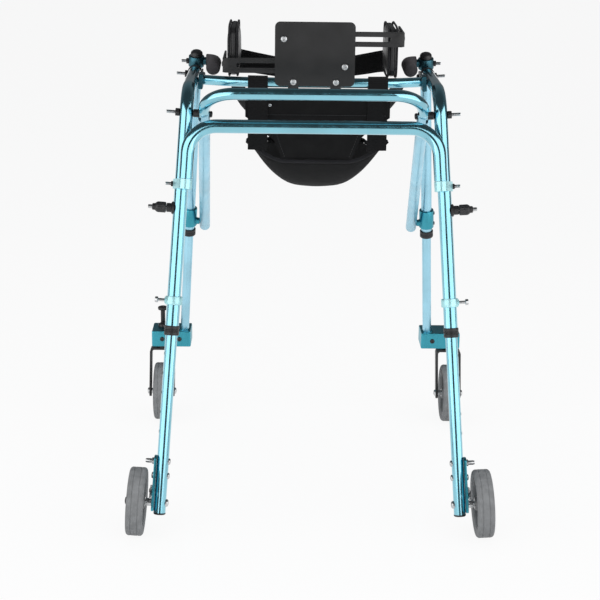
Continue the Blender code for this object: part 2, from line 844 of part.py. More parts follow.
def wheel_bracket(name, side, axis):
    """The plate on the leg's outer side with its two screws through the leg."""
    bm = bmesh.new()
    out = outward(side)
    up = rear_up(side)
    back = behind(side)
    middle = rear_point(side, (WHEEL_PLATE_TOP + WHEEL_PLATE_FOOT) / 2, leg_plate_middle())
    height = (WHEEL_PLATE_TOP - WHEEL_PLATE_FOOT) / up.z
    outline = rounded_rectangle(0, 0, 2 * WHEEL_PLATE_HALF, height, 0.006, 3)
    plate(bm, middle, back, up, outline, [], WHEEL_PLATE_THICK)
    made = piece("wheel_bracket_" + name, bm, "bracket", axis)
    outer = REAR_LEG_R + GAP + WHEEL_PLATE_THICK
    for z, knob in zip(WHEEL_SCREW_ZS, WHEEL_SCREW_HEADS):
        length = outer + REAR_LEG_R + GAP
        profile = [(SCREW_HEAD_R, -knob), (SCREW_HEAD_R, 0.001), (SCREW_R, 0.001),
                   (SCREW_R, length), (SCREW_HEAD_R, length), (SCREW_HEAD_R, length + 0.003)]
        bm = bmesh.new()
        turned(bm, rear_point(side, z, outer), -out, profile, BOLT_SIDES)
        fuse(made, bm)
    axle = rear_axle(side)
    drill(made, axle, axle + out * 0.03, AXLE_R + PIN_GAP)


def wheel_axle(name, side, axis):
    """The axle through leg and plate, with a shoulder that spaces the wheel and a round cap."""
    out = outward(side)
    start = -(REAR_LEG_R + GAP)
    shoulder = REAR_LEG_R + WHEEL_PLATE_THICK + 2 * GAP
    hub = REAR_WHEEL_OUT - WHEEL_WIDTH / 2
    cap = REAR_WHEEL_OUT + WHEEL_WIDTH / 2
    profile = [(0.007, start - 0.004), (0.007, start), (AXLE_R, start), (AXLE_R, shoulder),
               (0.0075, shoulder), (0.0075, hub), (AXLE_R, hub), (AXLE_R, cap), (0.0085, cap),
               (0.0085, cap + 0.003), (0.005, cap + 0.006)]
    bm = bmesh.new()
    turned(bm, rear_axle(side), out, profile, 12)
    piece("wheel_axle_" + name, bm, "black", axis)


def wheel_pieces(name, centre, axis_dir, parent):
    """A tyre on a hub that turns round an axle."""
    half = WHEEL_WIDTH / 2
    edge = WHEEL_EDGE
    profile = [(WHEEL_RIM_R, -half + 0.003)]
    for end in (-1, 1):
        for step in range(4):
            angle = math.pi / 2 * (step if end < 0 else 3 - step) / 3
            profile.append((WHEEL_R - edge + edge * math.sin(angle),
                            end * (half - edge + edge * math.cos(angle))))
    profile.append((WHEEL_RIM_R, half - 0.003))
    bm = bmesh.new()
    turned(bm, centre, axis_dir, profile, WHEEL_SIDES, hollow=True)
    piece(name + "_tyre", bm, "tyre", parent)
    rim = WHEEL_RIM_R * math.cos(math.pi / WHEEL_SIDES) - GAP
    bore = AXLE_R + 0.0002
    profile = [(bore, -half + 0.001), (HUB_R, -half + 0.001), (HUB_R + 0.004, -0.008),
               (rim - 0.006, -0.008), (rim - 0.003, -half + 0.004), (rim, -half + 0.004),
               (rim, half - 0.004), (rim - 0.003, half - 0.004), (rim - 0.006, 0.008),
               (HUB_R + 0.004, 0.008), (HUB_R, half - 0.001), (bore, half - 0.001)]
    bm = bmesh.new()
    turned(bm, centre, axis_dir, profile, HUB_SIDES, hollow=True)
    piece(name + "_hub", bm, "tyre", parent)


def pawl_lever(name, side, axis):
    """The anti-rollback lever: a short arm with a rod, beside the wheel plate."""
    bm = bmesh.new()
    out = outward(side)
    up = rear_up(side)
    back = behind(side)
    outer = REAR_LEG_R + WHEEL_PLATE_THICK + 2 * GAP
    middle = outer + PAWL_THICK / 2
    at = rear_point(side, PAWL_Z - 0.008, middle)
    outline = [(-0.006, 0.010), (0.006, 0.010), (0.008, 0.0), (0.021, -0.005),
               (0.021, -0.012), (0.004, -0.008), (-0.006, -0.006)]
    plate(bm, at, back, up, outline, [], PAWL_THICK)
    piece("pawl_lever_" + name, bm, "steel", axis)


def plunger(name, side, axis):
    """The black pull knob outside the outer tube, with its metal stem."""
    out = outward(side)
    at = rear_point(side, PLUNGER_Z)
    bm = bmesh.new()
    knob_from = RAIL_R + PLUNGER_STEM
    length = RAIL_R + PLUNGER_LENGTH
    tip = REAR_LEG_R + SLIDE_GAP + 2 * GAP
    profile = [(LEG_PIN_R, tip), (LEG_PIN_R, knob_from), (PLUNGER_R, knob_from),
               (PLUNGER_R, knob_from + 0.016), (PLUNGER_R - 0.002, knob_from + 0.020),
               (0.006, knob_from + 0.020), (0.006, knob_from + 0.025),
               (PLUNGER_STEM_R, knob_from + 0.025), (PLUNGER_STEM_R, length + 0.012)]
    turned(bm, at, out, profile, 14)
    piece("plunger_knob_" + name, bm, "black", axis)


def leg_pin(name, side, axis):
    """The snap pin of the leg clip, drawn out by its round head."""
    out = outward(side)
    tip = REAR_LEG_R + SLIDE_GAP + 2 * GAP
    shoulder = RAIL_R + CLIP_WALL + 0.001
    profile = [(LEG_PIN_R, tip), (LEG_PIN_R, shoulder + LEG_PIN_LENGTH - 0.006),
               (0.0055, shoulder + LEG_PIN_LENGTH - 0.006),
               (0.0055, shoulder + LEG_PIN_LENGTH - 0.001), (0.004, shoulder + LEG_PIN_LENGTH)]
    bm = bmesh.new()
    turned(bm, rear_point(side, CLIP_Z), out, profile, 12)
    piece("leg_pin_" + name, bm, "steel", axis)


# Front legs

def upright(name, side, axis):
    """The folding front upright: capped on top, bored for the front leg, a collar at its foot."""
    up = front_up(side)
    foot = front_point(side, UPRIGHT_FOOT_Z)
    top = front_point(side, UPRIGHT_TOP_Z)
    collar_foot = foot - up * FRONT_COLLAR_HEIGHT
    path = [collar_foot, foot, foot + up * STEP, top, top + up * (CAP_HEIGHT - 0.002),
            top + up * CAP_HEIGHT]
    radii = [UPRIGHT_R + 0.003] * 2 + [UPRIGHT_R] * 2 + [UPRIGHT_R - 0.003, 0.005]
    bore_end = front_point(side, FRONT_LEG_TOP_Z + 0.002)
    bm = bmesh.new()
    swept(bm, path, radii, bore=FRONT_LEG_R + SLIDE_GAP, bore_path=[collar_foot, bore_end])
    made = piece("front_upright_" + name, bm, "tube", axis)
    at = front_point(side, FOLD_Z)
    reach = outward(side) * 0.02
    drill(made, at - reach, at + reach, FOLD_BOLT_R + PIN_GAP)


def handle(name, side, axis):
    """The handle's clamp ring and arm, and the foam grip round the arm."""
    up = front_up(side)
    centre = front_point(side, HANDLE_CLAMP_Z)
    inner = UPRIGHT_R + HANDLE_CLAMP_ROOM
    outer = inner + HANDLE_CLAMP_WALL
    bm = bmesh.new()
    sleeve(bm, centre, up, inner, outer, HANDLE_CLAMP_HEIGHT)
    made = piece("handle_tube_" + name, bm, "black", axis)
    inward = Vector((-side, 0, 0))
    start = centre + inward * (outer - 0.002)
    corner = start + inward * GRIP_REACH
    end = corner + Vector((0, -GRIP_BACK, -0.004))
    grip_start = start + inward * 0.006
    core_end = corner + Vector((0, -GRIP_BACK + 0.010, -0.004))
    bm = bmesh.new()
    swept(bm, bent_path([start, corner, core_end], [GRIP_BEND], 4), HANDLE_TUBE_R, 12)
    fuse(made, bm)
    path = bent_path([grip_start, corner, end], [GRIP_BEND], 4)
    bore_path = bent_path([grip_start, corner, core_end + Vector((0, -GAP, 0))], [GRIP_BEND], 4)
    radii = [GRIP_R] * (len(path) - 1) + [GRIP_R * 0.72]
    bm = bmesh.new()
    swept(bm, path, radii, 12, bore=HANDLE_TUBE_R + 2 * GAP, bore_path=bore_path)
    piece("hand_grip_" + name, bm, "grip", axis)


def front_leg(name, side, axis):
    """The thin lower tube, its socket end in the caster block."""
    bm = bmesh.new()
    foot = front_point(side, CASTER_BLOCK_TOP - SOCKET_DEPTH + GAP)
    swept(bm, [foot, front_point(side, FRONT_LEG_TOP_Z)], FRONT_LEG_R)
    piece("front_leg_" + name, bm, "tube", axis)


def brace_collar(name, side, axis):
    """The clamp on the upright with the stud that the brace lies on."""
    bm = bmesh.new()
    inner = UPRIGHT_R + GAP
    outer = inner + BRACE_COLLAR_WALL
    sleeve(bm, front_point(side, BRACE_COLLAR_Z), front_up(side), inner, outer,
           BRACE_COLLAR_HEIGHT)
    made = piece("brace_collar_" + name, bm, "bracket", axis)
    stud_z = BRACE_FOOT_Z + BRACE_STUD_RISE
    bm = bmesh.new()
    rod(bm, front_point(side, stud_z, -outer + 0.002),
        front_point(side, stud_z, -BRACE_INBOARD + BRACE_R + GAP), BRACE_STUD_R)
    fuse(made, bm)


def brace(name, side, axis):
    """The folding brace: a round tube, its eye cut away beside the hoop's tongue."""
    top, up = brace_line(side)
    foot = front_point(side, BRACE_FOOT_Z, -BRACE_INBOARD)
    out = outward(side)
    end = foot - up * BRACE_OVERRUN
    path = [top + up * BRACE_EYE_RISE, top + up * (BRACE_EYE_RISE - 0.004),
            top + up * (BRACE_EYE_RISE - 0.008), end + up * 0.004, end]
    radii = [BRACE_R * 0.35, BRACE_R * 0.8, BRACE_R, BRACE_R, BRACE_R * 0.7]
    bm = bmesh.new()
    swept(bm, path, radii)
    made = piece("brace_" + name, bm, "tube", axis)
    seat = top + out * (BRACE_INBOARD - tongue_outer() - HOOP_TONGUE_THICK - GAP)
    drill(made, seat, seat + out * 0.02, BRACE_SEAT_R, 20)
    drill(made, top - out * 0.02, top + out * 0.02, FOLD_BOLT_R + PIN_GAP)


# Casters

def caster_stem(side):
    """The swivel axis of a front caster, at the top of its fork's crown."""
    return Vector((side * CASTER_X, WHEELBASE / 2 + CASTER_TRAIL, FORK_TOP_Z))


def lock_place(side):
    return caster_stem(side) + Vector((0, LOCK_Y_OFFSET, 0))


def caster_block(name, side, axis):
    """The block at the front leg's foot that takes the caster's stem and its lock."""
    stem = caster_stem(side)
    lock = lock_place(side)
    leg = front_point(side, CASTER_BLOCK_TOP)
    near = min(leg.y, stem.y) - CASTER_BLOCK_HALF_Y
    far = lock.y + LOCK_BARREL_R + 0.004
    centre = Vector((side * (CASTER_BLOCK_INNER_X + CASTER_BLOCK_OUTER_X) / 2, (near + far) / 2,
                     (CASTER_BLOCK_FOOT + CASTER_BLOCK_TOP) / 2))
    size = (CASTER_BLOCK_OUTER_X - CASTER_BLOCK_INNER_X, far - near,
            CASTER_BLOCK_TOP - CASTER_BLOCK_FOOT)
    bm = bmesh.new()
    block(bm, centre, Vector((1, 0, 0)), Vector((0, 1, 0)), size, 0.003)
    made = piece("caster_bracket_" + name, bm, "bracket", axis)
    up = front_up(side)
    socket = front_point(side, CASTER_BLOCK_TOP - SOCKET_DEPTH)
    drill(made, socket, socket + up * 0.08, FRONT_LEG_R + GAP, TUBE_SIDES)
    above = Vector((0, 0, 0.1))
    drill(made, stem, stem + above, STEM_R + PIN_GAP, 12)
    foot = Vector((lock.x, lock.y, CASTER_BLOCK_FOOT + 0.006))
    drill(made, foot, foot + above, LOCK_PIN_R + PIN_GAP)


def caster_fork(name, side, axis):
    """A fork bent over the wheel, with its stem, its nut and the wheel's axle."""
    top = caster_stem(side)
    wheel = Vector((top.x, top.y - CASTER_TRAIL, WHEEL_R))
    half = FORK_WIDTH / 2
    inner = half - FORK_PLATE
    bm = bmesh.new()
    arm = FORK_ARM_HALF
    outline = [(-half, 0), (half, 0), (half, -FORK_PLATE), (half, wheel.z - arm - top.z),
               (inner, wheel.z - arm - top.z), (inner, -FORK_PLATE), (-inner, -FORK_PLATE),
               (-inner, wheel.z - arm - top.z), (-half, wheel.z - arm - top.z)]
    lean = (Vector((0, -CASTER_TRAIL, wheel.z - top.z))).normalized()
    shear = lean.y / lean.z
    faces = []
    for reach in (-arm, arm):
        ring = []
        for x, z in outline:
            ring.append(bm.verts.new(Vector((top.x + x, top.y + reach + z * shear, top.z + z))))
        faces.append(ring)
        bm.faces.new(ring)
    join_rings(bm, faces[0], faces[1])
    made = piece("caster_fork_" + name, bm, "black", axis)
    stem_top = CASTER_BLOCK_TOP - top.z + GAP
    shoulder = CASTER_BLOCK_FOOT - top.z - GAP
    bm = bmesh.new()
    turned(bm, top, Vector((0, 0, 1)),
           [(0.0125, -0.002), (0.0125, shoulder), (STEM_R, shoulder), (STEM_R, stem_top),
            (0.009, stem_top), (0.009, stem_top + 0.006), (0.006, stem_top + 0.008)], 12)
    fuse(made, bm)
    seat = half - 0.001
    profile = [(0.007, -seat - 0.005), (0.007, -seat), (AXLE_R, -seat), (AXLE_R, seat),
               (0.007, seat), (0.007, seat + 0.005)]
    bm = bmesh.new()
    turned(bm, wheel, Vector((1, 0, 0)), profile, 12)
    fuse(made, bm)


def swivel_lock(name, side, axis):
    """The pull knob above the caster block, whose pin enters the block."""
    at = lock_place(side)
    foot = CASTER_BLOCK_FOOT + 0.006 + 2 * GAP - at.z
    block_top = CASTER_BLOCK_TOP - at.z
    head = LOCK_TOP_Z - at.z
    profile = [(LOCK_PIN_R, foot), (LOCK_PIN_R, block_top + GAP), (LOCK_BARREL_R, block_top + GAP),
               (LOCK_BARREL_R, head - LOCK_HEAD), (LOCK_HEAD_R, head - LOCK_HEAD),
               (LOCK_HEAD_R, head - 0.002), (LOCK_HEAD_R - 0.002, head)]
    bm = bmesh.new()
    turned(bm, at, Vector((0, 0, 1)), profile, 14)
    piece("swivel_lock_" + name, bm, "black", axis)


# Hip stabiliser

def slide_bar(name, side, z, axis):
    """A slotted bar behind the plate that carries one side pad."""
    bm = bmesh.new()
    near = PLATE_X - side * SLIDE_OVERLAP
    far = side * SLIDE_REACH
    outline = rounded_rectangle((near + far) / 2, 0, abs(far - near), SLIDE_HEIGHT, 0.006, 3)
    slot_near = near + side * SLOT_MARGIN
    slot_far = far - side * SLOT_OUTER_MARGIN
    slot = rounded_rectangle((slot_near + slot_far) / 2, 0, abs(slot_far - slot_near), SLIDE_SLOT,
                             SLIDE_SLOT / 2 - 0.0001, 3)
    y = PLATE_Y + PLATE_THICK / 2 + GAP + GAP + SLIDE_THICK / 2
    plate(bm, Vector((0, y, z)), Vector((1, 0, 0)), Vector((0, 0, 1)), outline, [slot],
          SLIDE_THICK)
    made = piece("slot_bar_" + name, bm, "black", axis)
    bm = bmesh.new()
    depth = SLIDE_THICK + PAD_WALL_LENGTH
    centre = Vector((side * (SLIDE_REACH - PAD_WALL / 2), y - SLIDE_THICK / 2 + depth / 2, z))
    block(bm, centre, Vector((1, 0, 0)), Vector((0, 1, 0)),
          (PAD_WALL, depth - 0.0005, SLIDE_HEIGHT - 0.001))
    fuse(made, bm)


def cushion(bm, centre, size, steps, fullness, pinch):
    """A crowned closed pad whose sides draw in between its corners."""
    made = bmesh.ops.create_cube(bm, size=2)["verts"]
    edges = {edge for vert in made for edge in vert.link_edges}
    bmesh.ops.subdivide_edges(bm, edges=list(edges), cuts=steps, use_grid_fill=True)
    for vert in bm.verts:
        x, y, z = vert.co
        power = fullness
        length = (abs(x) ** power + abs(y) ** power + abs(z) ** power) ** (1 / power)
        grown = Vector((x, y, z)) / length
        edge = max(abs(grown.y), abs(grown.z))
        crown = 1 - PAD_EASE * edge ** 4
        draw = 1 - pinch * (1 - grown.y ** 2) * abs(grown.z) ** 3
        pull = 1 - pinch * (1 - grown.z ** 2) * abs(grown.y) ** 3
        vert.co = centre + Vector((grown.x * size[0] / 2 * crown, grown.y * size[1] / 2 * pull,
                                   grown.z * size[2] / 2 * draw))


def pad_centre(side):
    x = SLIDE_REACH - PAD_WALL - GAP - PAD_THICK / 2
    return Vector((side * x, PLATE_Y + PAD_LENGTH / 2 + PAD_START, PAD_Z))


def side_pad(name, side, axis):
    """A crowned foam pad beside the user's hip."""
    bm = bmesh.new()
    cushion(bm, pad_centre(side), (PAD_THICK, PAD_LENGTH, PAD_HEIGHT), 5, 5, PAD_PINCH)
    piece("side_pad_" + name, bm, "fabric", axis, 80)


def belt(name, side, axis):
    """Half of the front belt, hanging in from its pad's front end."""
    pad_front = PAD_LENGTH / 2 * (1 - PAD_PINCH) + 2 * GAP
    start = pad_centre(side) + Vector((0, pad_front + BELT_THICK / 2, -BELT_DROP))
    plane = side * (BELT_THICK + BELT_LAP_GAP) / 2

    def surface(u, v):
        reach = start.x + (side * BELT_INNER_X - start.x) * u
        y = start.y + (BELT_BULGE + plane) * math.sin(math.pi / 2 * min(1, u / BELT_TURN))
        height = BELT_HEIGHT - BELT_TAPER * u
        z = start.z - BELT_SAG * math.sin(math.pi / 2 * u) + height * (v - 0.5)
        return (reach, y, z)

    bm = bmesh.new()
    slab(bm, surface, 10, 2, BELT_THICK)
    piece("belt_" + name, bm, "fabric", axis, 80)


# Sling seat

def bar_at(x):
    """The stabiliser bar's middle at a distance x from the middle plane."""
    half = abs(stabilizer_middle(1).x)
    return stabilizer_middle(x / half)


def strap_loop(bm, x, foot_z, front_z):
    """A strap over the stabiliser bar: down behind the user, and a short end in front."""
    bar = bar_at(x)
    radius = STABILIZER_R + STRAP_ROOM + STRAP_THICK / 2
    path = [Vector((0, bar.y - radius, foot_z)), Vector((0, bar.y - radius, bar.z - STRAP_BEND_DROP))]
    for step in range(9):
        angle = math.pi * step / 8
        path.append(Vector((0, bar.y - radius * math.cos(angle), bar.z + radius * math.sin(angle))))
    path.append(Vector((0, bar.y + radius, front_z)))
    slope = (bar_at(x + 0.005).y - bar_at(x - 0.005).y) / 0.01
    count = len(path) - 1

    def surface(u, v):
        index = min(int(u * count), count - 1)
        share = u * count - index
        point = path[index].lerp(path[index + 1], share)
        across_bar = (v - 0.5) * STRAP_WIDTH
        return (x + across_bar, point.y + across_bar * slope, point.z)

    slab(bm, surface, count, 2, STRAP_THICK)


def harness_back():
    """The seat's back: two straps over the bar, a wide panel and a tapering tongue."""
    panel_y = bar_at(STRAP_HALF_SPACING).y - STABILIZER_R + PANEL_THICK / 2 - STRAP_THICK / 2
    height = PANEL_TOP_Z - TONGUE_FOOT_Z
    shoulder = (PANEL_FOOT_Z - TONGUE_FOOT_Z) / height

    def panel(u, v):
        width = TONGUE_FOOT_WIDTH + (TONGUE_TOP_WIDTH - TONGUE_FOOT_WIDTH) * v / shoulder
        if v > shoulder:
            width = PANEL_WIDTH
        x = HARNESS_X + (u - 0.5) * width
        away = max(0, shoulder - v) / shoulder
        y = panel_y + PANEL_BULGE * math.sin(math.pi * u) * (1 - v) + TONGUE_LEAN * away ** 2
        return (x, y, TONGUE_FOOT_Z + height * v)

    bm = bmesh.new()
    slab(bm, panel, 12, 9, PANEL_THICK)
    made = piece("harness_back", bm, "fabric", None, 80)
    for sign in (-1, 1):
        bm = bmesh.new()
        strap_loop(bm, HARNESS_X + sign * STRAP_HALF_SPACING, STRAP_FOOT_Z, STRAP_FRONT_Z)
        fuse(made, bm)


def seat_sling():
    """The padded sling under the user, from the tongue's foot round to the front straps."""
    back_y = bar_at(STRAP_HALF_SPACING).y - STABILIZER_R + PANEL_THICK / 2 + SLING_BACK_STEP
    controls = [Vector((0, back_y, TONGUE_FOOT_Z - SLING_BACK_DROP)),
                Vector((0, back_y + SLING_HEEL_Y, SLING_HEEL_Z)),
                Vector((0, back_y + SLING_DIP_Y, SLING_DIP_Z)),
                Vector((0, SLING_FRONT_Y, SLING_FRONT_Z))]

    def line(v):
        one, two, three, four = controls
        rest = 1 - v
        return (one * rest ** 3 + two * 3 * rest * rest * v + three * 3 * rest * v * v
                + four * v ** 3)

    def sling(u, v):
        point = line(v)
        width = SLING_WIDTH * (1 - SLING_TAPER * v)
        lateral = u - 0.5
        edge = abs(2 * lateral)
        corner = max(0, edge - SLING_REAR_FLAT) / (1 - SLING_REAR_FLAT)
        cup = SLING_CUP * edge ** 3 * abs(math.sin(math.pi * v)) ** 0.8
        cup += SLING_REAR_CUP * corner ** 1.6 * (1 - v) ** 3
        return (HARNESS_X + lateral * width, point.y, point.z + cup)

    def padding(u, v):
        rim = min(u, 1 - u, v, 1 - v)
        return SLING_THICK * (SLING_RIM + (1 - SLING_RIM) * min(rim / SLING_RIM_WIDTH, 1) ** 0.5)

    bm = bmesh.new()
    slab(bm, sling, 12, 12, padding)
    made = piece("seat_sling", bm, "fabric", None, 80)
    for sign in (-1, 1):
        start = Vector(sling(0.5 + 0.5 * sign * FRONT_STRAP_START, 0.985))
        bar = bar_at(HARNESS_X + sign * FRONT_STRAP_SPACING)
        end = bar + Vector((0, STABILIZER_R + FRONT_STRAP_STEP, FRONT_STRAP_RISE))

        def strap(u, v, start=start, end=end, sign=sign):
            point = start.lerp(end, u)
            bow = math.sin(math.pi * u) * FRONT_STRAP_BOW
            return (point.x + sign * bow + sign * (v - 0.5) * STRAP_WIDTH * 0.35,
                    point.y - (v - 0.5) * STRAP_WIDTH * 0.1,
                    point.z + (v - 0.5) * STRAP_WIDTH * 0.85 * (1 - 0.6 * u))

        bm = bmesh.new()
        slab(bm, strap, 10, 2, STRAP_THICK * 1.5)
        fuse(made, bm)


FINISHES = {}


def build():
    """Clears the scene and builds the walker."""
    for old in list(bpy.data.objects):
        bpy.data.objects.remove(old)
    PLACES.clear()
    FINISHES.clear()
    FINISHES["tube"] = material("anodised_blue", (0.03, 0.24, 0.34), 0.22, 1.0)
    FINISHES["ring"] = material("pale_ring", (0.45, 0.75, 0.78), 0.35, 0.6)
    FINISHES["bracket"] = material("bracket_blue", (0.06, 0.34, 0.44), 0.35, 0.9)
    FINISHES["steel"] = material("bright_steel", (0.55, 0.56, 0.57), 0.3, 1.0)
    FINISHES["black"] = material("black_plastic", (0.02, 0.02, 0.022), 0.45, 0.0)
    FINISHES["grip"] = material("grey_foam", (0.10, 0.10, 0.115), 0.85, 0.0)
    FINISHES["tyre"] = material("grey_tyre", (0.16, 0.165, 0.17), 0.7, 0.0)
    FINISHES["fabric"] = material("black_fabric", (0.018, 0.018, 0.020), 0.9, 0.0)

    lower_crossbar()
    upper_crossbar()
    stabilizer_bar()
    stabilizer_plate()
    harness_back()
    seat_sling()
    for name, side in SIDES:
        side_rail(name, side)
        hoop_clamp(name, side)
        leg_clip(name, side)
        fold_bolt(name, side)
        brace_bolt(name, side)
        leg = empty("rear_leg_axis_" + name, rear_point(side, LEG_TOP_Z))
        rear_leg(name, side, leg)
        wheel_bracket(name, side, leg)
        wheel_axle(name, side, leg)
        spin = empty("rear_wheel_axis_" + name, rear_axle(side, REAR_WHEEL_OUT), leg)
        wheel_pieces("rear_" + name, PLACES[spin], outward(side), spin)
        pawl = empty("pawl_axis_" + name, rear_point(side, PAWL_Z - 0.008), leg)
        pawl_lever(name, side, pawl)
        plunger(name, side, empty("plunger_axis_" + name, rear_point(side, PLUNGER_Z)))
        leg_pin(name, side, empty("leg_pin_axis_" + name, rear_point(side, CLIP_Z)))
        fold = empty("fold_axis_" + name, front_point(side, FOLD_Z))
        upright(name, side, fold)
        handle(name, side, empty("handle_axis_" + name, front_point(side, HANDLE_CLAMP_Z), fold))
        brace_collar(name, side, fold)
        swing = empty("brace_axis_" + name, rear_point(side, BRACE_TOP_Z, -BRACE_INBOARD))
        brace(name, side, swing)
        slide = empty("front_leg_axis_" + name, front_point(side, FRONT_LEG_TOP_Z), fold)
        front_leg(name, side, slide)
        caster_block(name, side, slide)
        lock = empty("lock_axis_" + name, lock_place(side), slide)
        swivel_lock(name, side, lock)
        swivel = empty("swivel_axis_" + name, caster_stem(side), slide)
        caster_fork(name, side, swivel)
        wheel = caster_stem(side)
        wheel.y -= CASTER_TRAIL
        wheel.z = WHEEL_R
        roll = empty("caster_axis_" + name, wheel, swivel)
        wheel_pieces("caster_" + name, wheel, Vector((side, 0, 0)), roll)
    for name, side, z, label in (("left", -1, LOWER_SLIDE_Z, "lower"),
                                 ("right", 1, UPPER_SLIDE_Z, "upper")):
        axis = empty("pad_axis_" + name, Vector((side * SLIDE_REACH, PLATE_Y, z)))
        slide_bar(label, side, z, axis)
        side_pad(name, side, axis)
        belt(name, side, axis)


build()
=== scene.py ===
"""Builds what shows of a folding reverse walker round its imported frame, laid out as an add-on."""

import math

import bmesh
import bpy
from mathutils import Matrix, Vector, geometry, noise


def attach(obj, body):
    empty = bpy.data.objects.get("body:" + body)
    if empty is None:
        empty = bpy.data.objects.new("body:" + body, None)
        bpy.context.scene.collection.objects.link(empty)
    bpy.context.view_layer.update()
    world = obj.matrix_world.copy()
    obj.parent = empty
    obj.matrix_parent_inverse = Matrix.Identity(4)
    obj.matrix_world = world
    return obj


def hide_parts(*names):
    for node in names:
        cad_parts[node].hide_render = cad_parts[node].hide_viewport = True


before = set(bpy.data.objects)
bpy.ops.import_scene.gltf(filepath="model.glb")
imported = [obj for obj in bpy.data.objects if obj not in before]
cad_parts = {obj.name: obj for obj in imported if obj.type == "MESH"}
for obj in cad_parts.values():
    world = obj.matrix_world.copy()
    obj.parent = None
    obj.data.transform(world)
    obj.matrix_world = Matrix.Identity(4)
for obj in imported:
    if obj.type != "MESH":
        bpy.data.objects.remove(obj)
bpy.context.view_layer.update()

bl_info = {
    "name": "Walker dressing",
    "version": (1, 0, 0),
    "blender": (4, 5, 0),
    "location": "3D View > Sidebar > Walker",
    "description": "Builds the visible tubes, fittings and soft pieces of a reverse walker",
    "category": "Object",
}

SIDES = (("left", -1), ("right", 1))
RIGHT = Vector([1, 0, 0])
FORWARD = Vector([0, 1, 0])
UP = Vector([0, 0, 1])

# Places on the frame, in metres, as the part's source has them

FOOT_HALF = 0.2827
SPLAY = 0.0625
WHEELBASE = 0.589
REAR_LEAN = 0.268
FRONT_LEAN = 0.2272
RAIL_Z = 0.800
RAIL_BEND = 0.060
RAIL_FRONT_Y = 0.150
GAP = 0.0003

RAIL_R = 0.0127
REAR_LEG_R = 0.0111
UPRIGHT_R = 0.0111
FRONT_LEG_R = 0.0095
BRACE_R = 0.0111
STABILIZER_R = 0.0095
BOLT_HEAD_R = 0.006
BOLT_HEAD = 0.004
BOLT_STUD = 0.024
CLAMP_STUD = 0.015

RAIL_FOOT_Z = 0.387
LEG_TOP_Z = 0.700
LEG_FOOT_Z = 0.040
COLLAR_HEIGHT = 0.018
BUSH_HEIGHT = 0.007
CLIP_Z = 0.425
CLIP_HEIGHT = 0.016
CLIP_WALL = 0.0033
LEG_PIN_R = 0.003
LEG_PIN_LENGTH = 0.018
PLUNGER_Z = 0.590
PLUNGER_R = 0.010
PLUNGER_STEM = 0.013
PLUNGER_BOSS = 0.012

LOWER_HOOP_Z = 0.735
LOWER_HOOP_BEND = 0.053
LOWER_HOOP_FOOT_Z = 0.642
HOOP_BEHIND = 0.0262
HOOP_INBOARD = 0.008
HOOP_CLAMP_HEIGHT = 0.018
UPPER_HOOP_REACH = 0.073
UPPER_HOOP_BEND = 0.058
UPPER_HOOP_START = 0.0135
HOOP_TONGUE_THICK = 0.003
HOOP_TONGUE_HALF = 0.0075
HOOP_TONGUE_FOOT = 0.008
HOOP_TONGUE_TOP = 0.022

WHEEL_R = 0.0635
WHEEL_WIDTH = 0.032
WHEEL_RIM_R = 0.047
HUB_R = 0.012
AXLE_R = 0.004
REAR_WHEEL_OUT = 0.0435
WHEEL_PLATE_TOP = 0.146
WHEEL_PLATE_FOOT = 0.046
WHEEL_PLATE_HALF = 0.013
WHEEL_PLATE_THICK = 0.0045
WHEEL_SCREW_ZS = (0.136, 0.110)
PAWL_Z = 0.090
PAWL_THICK = 0.004
CAMBER_EDGE = 0.006

FOLD_Y = 0.178
FOLD_Z = 0.790
UPRIGHT_TOP_Z = 0.831
UPRIGHT_FOOT_Z = 0.450
CAP_HEIGHT = 0.010
FORK_ROOM = 0.0006
FORK_WEB = 0.005
FORK_CHEEK = 0.003
FORK_EYE_R = 0.0125
HANDLE_CLAMP_Z = 0.818
HANDLE_CLAMP_HEIGHT = 0.022
HANDLE_CLAMP_WALL = 0.004
HANDLE_CLAMP_ROOM = 0.0007
HANDLE_TUBE_R = 0.008
GRIP_R = 0.014
GRIP_REACH = 0.023
GRIP_BACK = 0.078
GRIP_BEND = 0.016
FRONT_LEG_TOP_Z = 0.590
FRONT_COLLAR_HEIGHT = 0.015
BRACE_COLLAR_Z = 0.4775
BRACE_COLLAR_HEIGHT = 0.041
BRACE_COLLAR_WALL = 0.004
BRACE_INBOARD = 0.033
BRACE_TOP_Z = 0.7605
BRACE_FOOT_Z = 0.462
BRACE_OVERRUN = 0.010
BRACE_SPACER_R = 0.0075
BRACE_STUD_R = 0.007
BRACE_STUD_RISE = 0.006

CASTER_X = FOOT_HALF + 0.0383
CASTER_TRAIL = 0.035
SOCKET_DEPTH = 0.026
CASTER_BLOCK_FOOT = 0.168
CASTER_BLOCK_TOP = 0.204
CASTER_BLOCK_HALF_Y = 0.019
CASTER_BLOCK_INNER_X = FOOT_HALF - 0.0267
CASTER_BLOCK_OUTER_X = CASTER_X + 0.021
FORK_TOP_Z = 0.157
FORK_PLATE = 0.005
FORK_WIDTH = 0.056
FORK_ARM_HALF = 0.011
STEM_R = 0.006
LOCK_Y_OFFSET = 0.018
LOCK_BARREL_R = 0.005
LOCK_HEAD_R = 0.011
LOCK_TOP_Z = 0.245
LOCK_HEAD = 0.007

